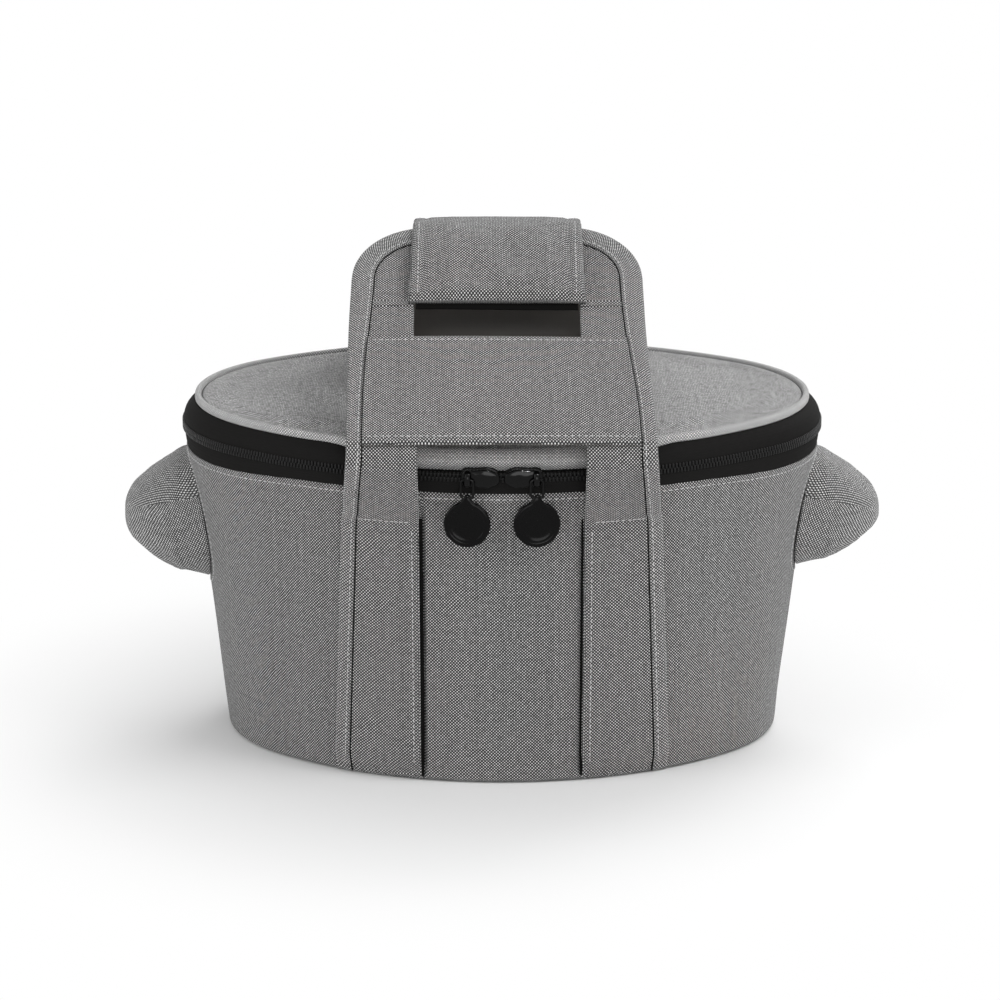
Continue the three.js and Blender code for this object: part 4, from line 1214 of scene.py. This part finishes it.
def lid_border_piece():
    """Sewn rim between the lid's panel and the zip band."""
    piece = Piece()
    section = [(-0.1, 0.2), (2.5, 0.0), (4.6, 0.05), (5.35, 0.6), (5.65, 1.4), (5.55, 2.1), (5.4, 2.8),
               (4.9, 3.6), (4.1, 4.0), (2.9, 4.2), (1.7, 4.1), (0.7, 3.6), (0.1, 2.8), (-0.1, 2.0)]
    section = np.array(section) * np.array([RIM_WIDTH / BORDER_WIDTH, 1.0])
    profile = section + np.array([LID_SEAM, BAND_TOP])
    low_share = 1 - section[:, 1] / section[:, 1].max()
    droop = mix(FRONT_FALL, FRONT_DROOP, low_share)
    puff = FRONT_PUFF * (section[:, 0] > 0.6 * RIM_WIDTH) * np.sin(np.pi * np.clip(low_share, 0.1, 0.9))
    shown = list(range(2, len(profile)))
    lined = [len(profile) - 1, 0, 1, 2]
    for number, part in enumerate((shown, lined)):
        sweep(piece, profile[part], ring_arcs(420), number, closed_profile=False,
              rise=np.full(len(part), END_LIFT), droop=droop[part], puff=puff[part])
    return piece


def lid_pad_piece():
    """Padded, lined underside of the lid."""
    piece = Piece()
    edge = oval_outline(LID_PAD_EDGE, 320)
    kept = edge[edge[:, 1] < FOLD_LINE - 0.4]
    order = np.argsort(np.arctan2(kept[:, 0], -kept[:, 1]))
    kept = kept[order]
    back = between(kept[-1], kept[0], 5.0)
    outline = np.concatenate([kept, back])

    def underside(x, y, lift):
        inside = np.minimum(LID_PAD_EDGE - oval_depth(x, y), FOLD_LINE - y)
        inside = np.clip(inside / LID_PAD_ROUNDING, 0, 1)
        belly = LID_PAD_BELLY * np.sin(inside * math.pi / 2)
        soft = 0.3 * np.sin(x / 29) * np.sin(y / 27)
        z = np.where(lift > 0.5, LID_PAD_TOP, LID_PAD_BOTTOM - belly + soft * inside)
        return np.stack([x, y, z - FRONT_FALL * front_share(x, y)], -1)

    panel(piece, outline, underside, 0.0, 1.0, 6.0, 1.0)
    return piece


# Zip
def tape_piece(low, high, low_rise, high_rise, high_droop):
    piece = Piece()
    rows = np.linspace(low, high, 32)
    ripple = 0.05 * np.sin(rows * 2 * math.pi / 1.3)
    face = np.stack([band_lean(rows) - 0.4 + ripple, rows], -1)
    back = np.stack([band_lean(rows) - 1.6, rows], -1)[::-1]
    profile = np.concatenate([face, back])
    rise = np.interp(profile[:, 1], (low, high), (low_rise, high_rise))
    arcs = np.linspace(-FOLD_ARC, FOLD_ARC, 361)
    droop = np.interp(profile[:, 1], (low, high), (0.0, high_droop))
    sweep(piece, profile, arcs, 0, False, True, rise=rise, swell=band_swell(profile[:, 1]), droop=droop)
    return piece


def tooth_ring(low, high, offset, grow):
    """Outline of a tooth, seen from outside the zip, at one offset: along the zip, outward and up."""
    wide, bevel = 0.62, 0.24
    middle, half = 0.5 * (low + high), 0.5 * (high - low)
    corners = [(-wide, bevel - half), (bevel - wide, -half), (wide - bevel, -half), (wide, bevel - half),
               (wide, half - bevel), (wide - bevel, half), (bevel - wide, half), (-wide, half - bevel)]
    return [(along * grow, offset, middle + up * grow) for along, up in corners]


def coil_piece(low, high, phase):
    """Teeth of one side of the zip, each a small loop seen end on."""
    piece = Piece()
    reach = FOLD_ARC - 3
    arcs = np.arange(-reach + phase * TOOTH_PITCH, reach, TOOTH_PITCH)
    levels = ((-2.2, 0.8), (-0.5, 1.0), (0.25, 1.0), (0.5, 0.72))
    shape = np.array([tooth_ring(low, high, offset, grow) for offset, grow in levels])
    x, *_ = oval(arcs, 0.0)
    swell = float(band_swell(CHAIN_HEIGHT)) * swell_share(x)[:, None, None]
    x, y, *_ = oval(arcs[:, None, None] + shape[None, :, :, 0], shape[None, :, :, 1] + swell)
    z = np.broadcast_to(shape[None, :, :, 2], x.shape)
    places = np.stack([arcs[:, None, None] + shape[None, :, :, 0] + 0 * z, z], -1)
    piece.add(np.stack([x, y, z], -1), tube_faces(*x.shape, flip=True), places)
    core = np.array([(-1.6, low + 0.3), (-0.7, low + 0.3), (-0.7, high - 0.3), (-1.6, high - 0.3)])
    sweep(piece, core, np.linspace(-reach, reach, 301), 0, False, True, swell=band_swell(core[:, 1]))
    return piece


def gusset_piece():
    piece = Piece()
    arcs = np.linspace(FOLD_ARC, 4 * QUARTER - FOLD_ARC, 81)
    rows = np.linspace(*GUSSET, 14)
    pleat = 0.1 + 0.35 * np.sin((rows - 163) / 21 * math.pi * 3) ** 2
    face = np.stack([band_lean(rows) - pleat, rows], -1)
    back = np.stack([band_lean(rows) - 2.0, rows], -1)[::-1]
    sweep(piece, np.concatenate([face, back]), arcs, 0, False, True)
    return piece


# Sliders and pulls
def slider_piece(side):
    """Die-cast slider: two waisted plates joined at the nose, and the bail that holds the pull."""
    piece = Piece()
    arc_centre = np.array([0.0, FRONT_CENTRE, 0.0])

    def place(points):
        """Turns points drawn about the middle of the front to the slider's place along the zip."""
        return turned_about(points - arc_centre, side * SLIDER_TURN, arc_centre)

    half = SLIDER_LENGTH / 2
    turn = np.linspace(0, 2 * math.pi, 48, endpoint=False)
    x = half * rounded(np.cos(turn), 0.62)
    waist = 1 - 0.2 * bell(x, side * half * 0.25, 4.5) - 0.3 * smooth(0.1 * half, half, -side * x)
    z = 0.5 * SLIDER_HEIGHT * rounded(np.sin(turn), 0.62) * waist
    outer_levels = ((0.9, 0.0), (1.0, 0.18), (1.0, 0.6), (0.95, 0.86), (0.8, 0.97), (0.45, 1.08), (0.0, 1.12))
    inner_levels = ((0.0, 1.0), (0.9, 1.0), (1.0, 0.8), (1.0, 0.2), (0.9, 0.0), (0.0, 0.0))
    plates = ((PLATE_NEAR, PLATE_FAR + 0.5, True), (INNER_PLATE - PLATE_THICKNESS, INNER_PLATE, False))
    for near, far, outer in plates:
        rows = []
        for grow, share in outer_levels if outer else inner_levels:
            bow = -FRONT_RADIUS + FRONT_CENTRE - mix(near, far, share)
            curve = 0.5 * (x * grow) ** 2 / FRONT_RADIUS
            rows.append(np.stack([x * grow, bow + curve, CHAIN_HEIGHT + z * grow], -1))
        if outer:
            middle = [0.0, rows[0][:, 1].mean(), CHAIN_HEIGHT]
            rows.insert(0, np.broadcast_to(middle, rows[0].shape))
        points = place(np.stack(rows))
        places = np.stack([np.broadcast_to(x, points.shape[:2]), points[..., 2]], -1)
        piece.grid(points, places, 0, wrap_columns=True, flip=outer)
    arch = np.linspace(0, math.pi, 17)
    path_z = CHAIN_HEIGHT + 4.0 * np.cos(arch)
    path_y = -HALF_DEPTH - PLATE_FAR + 0.5 - 3.5 * np.sin(arch) ** 0.7
    normal = edge_normals(np.stack([path_y, path_z], -1))
    ring = np.linspace(0, 2 * math.pi, 10, endpoint=False)
    across = side * PULL_OFFSET + BAIL_HALF_WIDTH * np.cos(ring)
    off = BAIL_HALF_THICKNESS * np.sin(ring)
    points = np.stack([
        np.broadcast_to(across, (len(arch), len(ring))),
        path_y[:, None] + normal[:, :1] * off,
        path_z[:, None] + normal[:, 1:] * off,
    ], -1)
    piece.grid(place(points), points[..., (0, 2)], 0, wrap_columns=True)
    return piece


def pull_box(side, name):
    """Corners of a solid of one of the pulls, in millimetres."""
    return [np.array(corner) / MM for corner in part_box(("left" if side < 0 else "right") + name)]


def link_piece(side):
    """Wire loop of a pull, in its hanging place."""
    piece = Piece()
    low, high = pull_box(side, "_pull_link")
    wire = LINK_WIRE / 2
    wide = LINK_WIDTH / 2 - wire - LINK_CORNER
    tall = LINK_LENGTH / 2 - wire - LINK_CORNER
    path = []
    for right, up, start in ((1, 1, 0), (-1, 1, 90), (-1, -1, 180), (1, -1, 270)):
        turn = np.radians(start + np.linspace(0, 90, 6))
        x = right * wide + LINK_CORNER * np.cos(turn)
        z = up * tall + LINK_CORNER * np.sin(turn)
        path.append(np.stack([x, z], -1))
    path = np.concatenate(path)
    step = unit(np.roll(path, -1, 0) - np.roll(path, 1, 0))
    out = np.stack([step[:, 1], -step[:, 0]], -1)
    ring = np.linspace(0, 2 * math.pi, 10, endpoint=False)
    flat = path[:, None] + out[:, None] * (wire * np.cos(ring))[None, :, None]
    local = np.stack([flat[..., 0], np.broadcast_to(wire * np.sin(ring), flat.shape[:2]), flat[..., 1]], -1)
    points = turned_about(local, side * PULL_TURN, 0.5 * (low + high))
    piece.grid(points, points[..., (0, 2)], 0, wrap_rows=True, wrap_columns=True, flip=True)
    return piece


def disc_piece(side):
    """Round rubber pull with a raised plain rim and a shallow dished face, narrowed to an eye at the top."""
    piece = Piece()
    low, high = pull_box(side, "_pull_disc")
    centre = np.array([*(0.5 * (low + high))[:2], low[2] + DISC_RADIUS])
    neck_length = high[2] - 0.2 - centre[2] - DISC_RADIUS
    turn = np.linspace(0, 2 * math.pi, 120, endpoint=False)
    neck = np.maximum(np.sin(turn), 0) ** 60
    section = ((0.0, 0.62), (3.0, 0.62), (6.0, 0.6), (8.4, 0.6), (9.0, 0.85), (9.5, 1.15), (10.4, 1.25),
               (11.2, 1.15), (11.8, 0.8), (12.0, 0.35))
    section = section + tuple((radius, -off) for radius, off in section[::-1])
    rows = []
    for radius, off in section:
        reach = radius + neck * max(0.0, radius - 8.8) / 3.2 * neck_length
        rows.append(np.stack([reach * np.cos(turn), np.full(len(turn), -off), reach * np.sin(turn)], -1))
    local = np.stack(rows)
    piece.grid(turned_about(local, side * PULL_TURN, centre), local[..., (0, 2)], 0, wrap_columns=True)
    return piece


# Building the carrier
def cut_ear_holes(piece, draw):
    """Opens the pockets' mouths in a wall or lining, drawn in from the pockets' cloth."""
    root = HALF_LENGTH + float(wall_offset(EAR_CENTRE_HEIGHT))
    turn = np.linspace(0, 2 * math.pi, 72, endpoint=False)
    for side in (-1, 1):
        cutter = Piece()
        half_width = EAR_ROOT_HALF_WIDTH - EAR_CLOTH - draw
        half_height = EAR_ROOT_HALF_HEIGHT - EAR_CLOTH - RIGHT_EAR_RISE - draw
        y = half_width * rounded(np.cos(turn))
        z = EAR_CENTRE_HEIGHT + half_height * rounded(np.sin(turn))
        rows = np.stack([np.stack([side * x + 0 * y, y, z], -1) for x in (root - 40, root + 20)])
        cutter.grid(rows, rows[..., 1:], 0, wrap_columns=True, flip=side < 0)
        cutter.add(rows[0], [list(range(len(turn)))[::-side]], rows[0][:, 1:])
        cutter.add(rows[1], [list(range(len(turn)))[::side]], rows[1][:, 1:])
        tool = cutter.build("ear_cutter", BOARD)
        change = piece.modifiers.new("pocket", "BOOLEAN")
        change.object = tool
        change.solver = "EXACT"
        graph = bpy.context.evaluated_depsgraph_get()
        mesh = bpy.data.meshes.new_from_object(piece.evaluated_get(graph))
        piece.modifiers.clear()
        old = piece.data
        piece.data = mesh
        bpy.data.meshes.remove(old)
        bpy.data.objects.remove(tool)


def settle(made, held, pressure):
    """Lets a padded piece settle as cloth, blown out by its filling and held along its seams."""
    scene = bpy.context.scene
    group = made.vertex_groups.new(name="held")
    for index, share in enumerate(held):
        group.add([index], float(share), "REPLACE")
    cloth = made.modifiers.new("settle", "CLOTH")
    settings = cloth.settings
    settings.quality = 5
    settings.mass = 0.0004
    settings.tension_stiffness = 12
    settings.compression_stiffness = 12
    settings.shear_stiffness = 6
    settings.bending_stiffness = 0.4
    settings.shrink_min = -0.012
    settings.vertex_group_mass = "held"
    settings.use_pressure = True
    settings.uniform_pressure_force = pressure
    settings.effector_weights.gravity = 0.0
    cloth.collision_settings.use_collision = False
    cloth.point_cache.frame_start = 1
    cloth.point_cache.frame_end = SETTLE_FRAMES
    for number in range(1, SETTLE_FRAMES + 1):
        scene.frame_set(number)
    formed = made.evaluated_get(bpy.context.evaluated_depsgraph_get()).data
    before = np.empty(3 * len(made.data.vertices))
    after = np.empty(3 * len(formed.vertices))
    made.data.vertices.foreach_get("co", before)
    formed.vertices.foreach_get("co", after)
    move = (after - before).reshape(-1, 3)
    length = np.linalg.norm(move, axis=1, keepdims=True)
    move *= np.minimum(1.0, SETTLE_REACH * MM / np.maximum(length, 1e-9))
    made.modifiers.remove(cloth)
    made.vertex_groups.remove(group)
    made.data.vertices.foreach_set("co", before + move.ravel())
    made.data.update()
    scene.frame_set(1)


def add(piece, name, body, materials, nodes=(), pressure=None, fold=None, mouth=None):
    """Builds a piece on a body and hides the solids that it stands for; a piece given a fold is left
    unattached, with its place baked in.

    Pressure lets it settle as cloth, and mouth opens it for the pockets.
    """
    made = piece.build(name, *materials, merged=mouth is not None)
    if mouth is not None:
        cut_ear_holes(made, mouth)
    if pressure:
        settle(made, piece.held(), pressure)
    if fold:
        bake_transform(made)
    else:
        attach(made, body)
    if nodes:
        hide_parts(*nodes)


SIDES = (("left", -1), ("right", 1))
STRAP_MATERIALS = [BODY_CLOTH, BINDING_CLOTH, THREAD, PAINTED_SHADE_EDGE]
LID_FOLD = ((0, 0.113, 0.188), (0, 0.097, 0.188))

add(tub_wall_piece(), "tub_wall", "tub", [BODY_CLOTH], ["outer_wall", "wall_foam"],
    mouth=WALL_MOUTH)
add(wall_stitches_piece(), "tub_stitching", "tub", [THREAD])
add(base_piece(), "tub_base", "tub", [BODY_CLOTH], ["base_panel"])
add(lining_piece(), "tub_lining", "tub", [LINING_CLOTH], ["lining", "base_foam"],
    mouth=LINING_MOUTH)
for name, side in SIDES:
    add(ear_piece(side), name + "_ear", "tub", [POCKET_CLOTH_PAINTED_LIGHT, LINING_CLOTH],
        [name + "_ear_cover"], EAR_PRESSURE)

lower_tape = tape_piece(*LOWER_TAPE, -END_SAG, 0.0, 0.0)
upper_tape = tape_piece(*UPPER_TAPE, 0.0, END_LIFT, FRONT_DROOP)
add(lower_tape, "lower_tape", "tub", [ZIP_TAPE], ["lower_zip_tape"])
add(upper_tape, "upper_tape", "lid", [ZIP_TAPE], ["upper_zip_tape"])
add(coil_piece(*LOWER_TEETH, 0.0), "lower_teeth", "tub", [ZIP_COIL], ["lower_zip_coil"])
add(coil_piece(*UPPER_TEETH, 0.5), "upper_teeth", "lid", [ZIP_COIL], ["upper_zip_coil"])
add(gusset_piece(), "back_gusset", "tub", [BODY_CLOTH], ["rear_gusset"])

add(lid_top_piece(), "lid_top", ("tub", "lid"), [LID_CLOTH], ["lid_panel", "hinge_panel"],
    LID_PRESSURE, LID_FOLD)
add(lid_border_piece(), "lid_rim", ("tub", "lid"), [RIM_CLOTH_PAINTED_LIGHT, LINING_CLOTH],
    ["lid_border"], fold=LID_FOLD)
add(lid_pad_piece(), "lid_underside", "lid", [LINING_CLOTH], ["lid_foam", "lid_lining"])

for end, facing, drop, corner, panel_low, facing_low in (
    ("front", 1, 0.0, HANDLE_CORNER, PANEL_LOW, FACING_LOW),
    ("rear", -1, REAR_DROP, REAR_CORNER, REAR_PANEL_LOW, REAR_PANEL_LOW),
):
    straps = end + "_straps"
    body = end + "_handle"
    lower = drop * MM
    strap_fold = ((0, -0.131 * facing, 0.148), (0, -0.131 * facing, 0.157))
    handle_fold = ((0, -0.150 * facing, 0.180 - lower), (0, -0.142 * facing, 0.193 - lower))
    for side in (-1, 1):
        piece = strap_piece(side)
        if facing < 0:
            piece.turned(drop)
        name = f"{end}_{'left' if side * facing < 0 else 'right'}"
        add(piece, name + "_strap_cloth", ("tub", straps), STRAP_MATERIALS,
            [name + "_strap", name + "_strap_binding", name + "_tab", name + "_tab_binding"], fold=strap_fold)
    grip = HANDLE_LENGTH - GRIP_BAR
    pieces = {
        "frame": frame_piece(corner),
        "panel": cross_panel_piece(panel_low, facing_low),
        "wrap": wrap_piece(),
        "pad": slab(grip + 1.5, HANDLE_LENGTH - 7, SLOT_HALF + 6, -2.3, -0.3),
        "hook": slab(grip - 9, grip + 22, SLOT_HALF - 1.0, 3.25, 4.2, 0.3),
    }
    for name, piece in pieces.items():
        if facing < 0:
            piece.turned(drop, WRAP_MEET if name == "wrap" else 0.0)
        piece.leaned(HANDLE_LEAN)
    add(pieces["frame"], end + "_handle_cloth", (straps, body),
        STRAP_MATERIALS + [FACING_CLOTH], [end + "_handle_frame", end + "_handle_binding"], fold=handle_fold)
    add(pieces["panel"], end + "_panel_cloth", body, [BODY_CLOTH, FACING_CLOTH, THREAD],
        [end + "_cross_panel"])
    add(pieces["wrap"], end + "_wrap", body, [BODY_CLOTH, THREAD], [end + "_wrap_cover"],
        WRAP_PRESSURE)
    add(pieces["pad"], end + "_grip_padding", body, [LINING_CLOTH], [end + "_grip_pad"])
    add(pieces["hook"], end + "_hook_tape", body, [HOOK_TAPE], [end + "_hook_strip"])

for name, side in SIDES:
    add(slider_piece(side), name + "_slider_body", name + "_slider", [ENAMEL],
        [name + "_slider"])
    add(link_piece(side), name + "_link", name + "_pull", [ENAMEL], [name + "_pull_link"])
    add(disc_piece(side), name + "_disc", name + "_pull", [RUBBER], [name + "_pull_disc"])

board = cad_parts["base_board"]
board.data.materials.clear()
board.data.materials.append(BOARD)


# Stage: pale floor, soft lights, white where the camera looks past the carrier
def seen_directly(tree):
    """One for the rays that show a surface to the camera, straight or by reflection or through glass."""
    rays = tree.nodes.new("ShaderNodeLightPath")
    seen = maths(tree, "MAXIMUM", rays.outputs["Is Camera Ray"], rays.outputs["Is Glossy Ray"])
    return maths(tree, "MAXIMUM", seen, rays.outputs["Is Transmission Ray"])


def whitened(tree, kind, surface, share, output):
    """Turns a share of what a surface shows to plain white."""
    white = tree.nodes.new(kind)
    white.inputs["Color"].default_value = grey(1.0)
    white.inputs["Strength"].default_value = 1.0
    chosen = tree.nodes.new("ShaderNodeMixShader")
    for value, socket in zip((share, surface.outputs[0], white.outputs[0]), chosen.inputs):
        tree.links.new(value, socket)
    tree.links.new(chosen.outputs[0], tree.nodes[output].inputs["Surface"])


FLOOR_REACH = 6.0
FLOOR_FADE = (0.13, 0.36)
FLOOR, floor_tree, floor_shader = new_material("floor")
floor_shader.inputs["Base Color"].default_value = grey(0.86)
floor_shader.inputs["Roughness"].default_value = 0.9
floor_shader.inputs["Specular IOR Level"].default_value = 0.1
floor_place = floor_tree.nodes.new("ShaderNodeTexCoord").outputs["Object"]
floor_away = floor_tree.nodes.new("ShaderNodeVectorMath")
floor_away.operation = "LENGTH"
floor_tree.links.new(floor_place, floor_away.inputs[0])
floor_fade = floor_tree.nodes.new("ShaderNodeMapRange")
floor_fade.interpolation_type = "SMOOTHSTEP"
floor_fade.inputs["From Min"].default_value = FLOOR_FADE[0]
floor_fade.inputs["From Max"].default_value = FLOOR_FADE[1]
floor_tree.links.new(floor_away.outputs["Value"], floor_fade.inputs["Value"])
floor_share = maths(floor_tree, "MULTIPLY", floor_fade.outputs["Result"], seen_directly(floor_tree))
whitened(floor_tree, "ShaderNodeEmission", floor_shader, floor_share, "Material Output")
floor_mesh = bpy.data.meshes.new("floor")
corners = box_corners(FLOOR_REACH, -FLOOR_REACH, FLOOR_REACH)
floor_mesh.from_pydata([(x, y, 0) for x, y in corners], [], [(0, 1, 2, 3)])
floor_mesh.materials.append(FLOOR)
placed("floor", floor_mesh)

world = bpy.data.worlds.new("studio")
world.use_nodes = True
bpy.context.scene.world = world
world_tree = world.node_tree
background = world_tree.nodes["Background"]
background.inputs["Color"].default_value = grey(0.95)
background.inputs["Strength"].default_value = 0.55
whitened(world_tree, "ShaderNodeBackground", background, seen_directly(world_tree), "World Output")


def area_light(name, place, target, size, power):
    data = bpy.data.lights.new(name, "AREA")
    data.energy = power
    data.shape = "DISK"
    data.size = size
    lamp = placed(name, data)
    lamp.location = place
    lamp.rotation_euler = (Vector(target) - Vector(place)).to_track_quat("-Z", "Y").to_euler()
    return lamp


MIDDLE = (0, 0, 0.12)
area_light("key", (1.7, -0.9, 1.8), MIDDLE, 1.4, 28)
area_light("fill", (-2.1, -1.1, 1.1), MIDDLE, 1.8, 20)
area_light("low", (0.2, -2.4, 0.35), MIDDLE, 1.0, 12)
glint = area_light("glint", (0.35, -1.5, 1.75), MIDDLE, 0.07, 30)
glint.visible_diffuse = False
area_light("back", (0.8, 1.4, 1.7), MIDDLE, 1.5, 25)

# Camera at the photograph's angle: from the front, a little above
AIM_HEIGHT = 0.090
DISTANCE = 2.0
ELEVATION = math.radians(15.6)
camera_data = bpy.data.cameras.new("camera")
camera_data.sensor_width = 36
camera_data.lens = 130.4
camera_data.shift_x = -0.002
camera_data.shift_y = 0.062
camera = placed("camera", camera_data)
camera.location = (0, -DISTANCE * math.cos(ELEVATION), AIM_HEIGHT + DISTANCE * math.sin(ELEVATION))
camera.rotation_euler = (math.pi / 2 - ELEVATION, 0, 0)
bpy.context.scene.camera = camera
bpy.context.scene.view_settings.view_transform = "Standard"
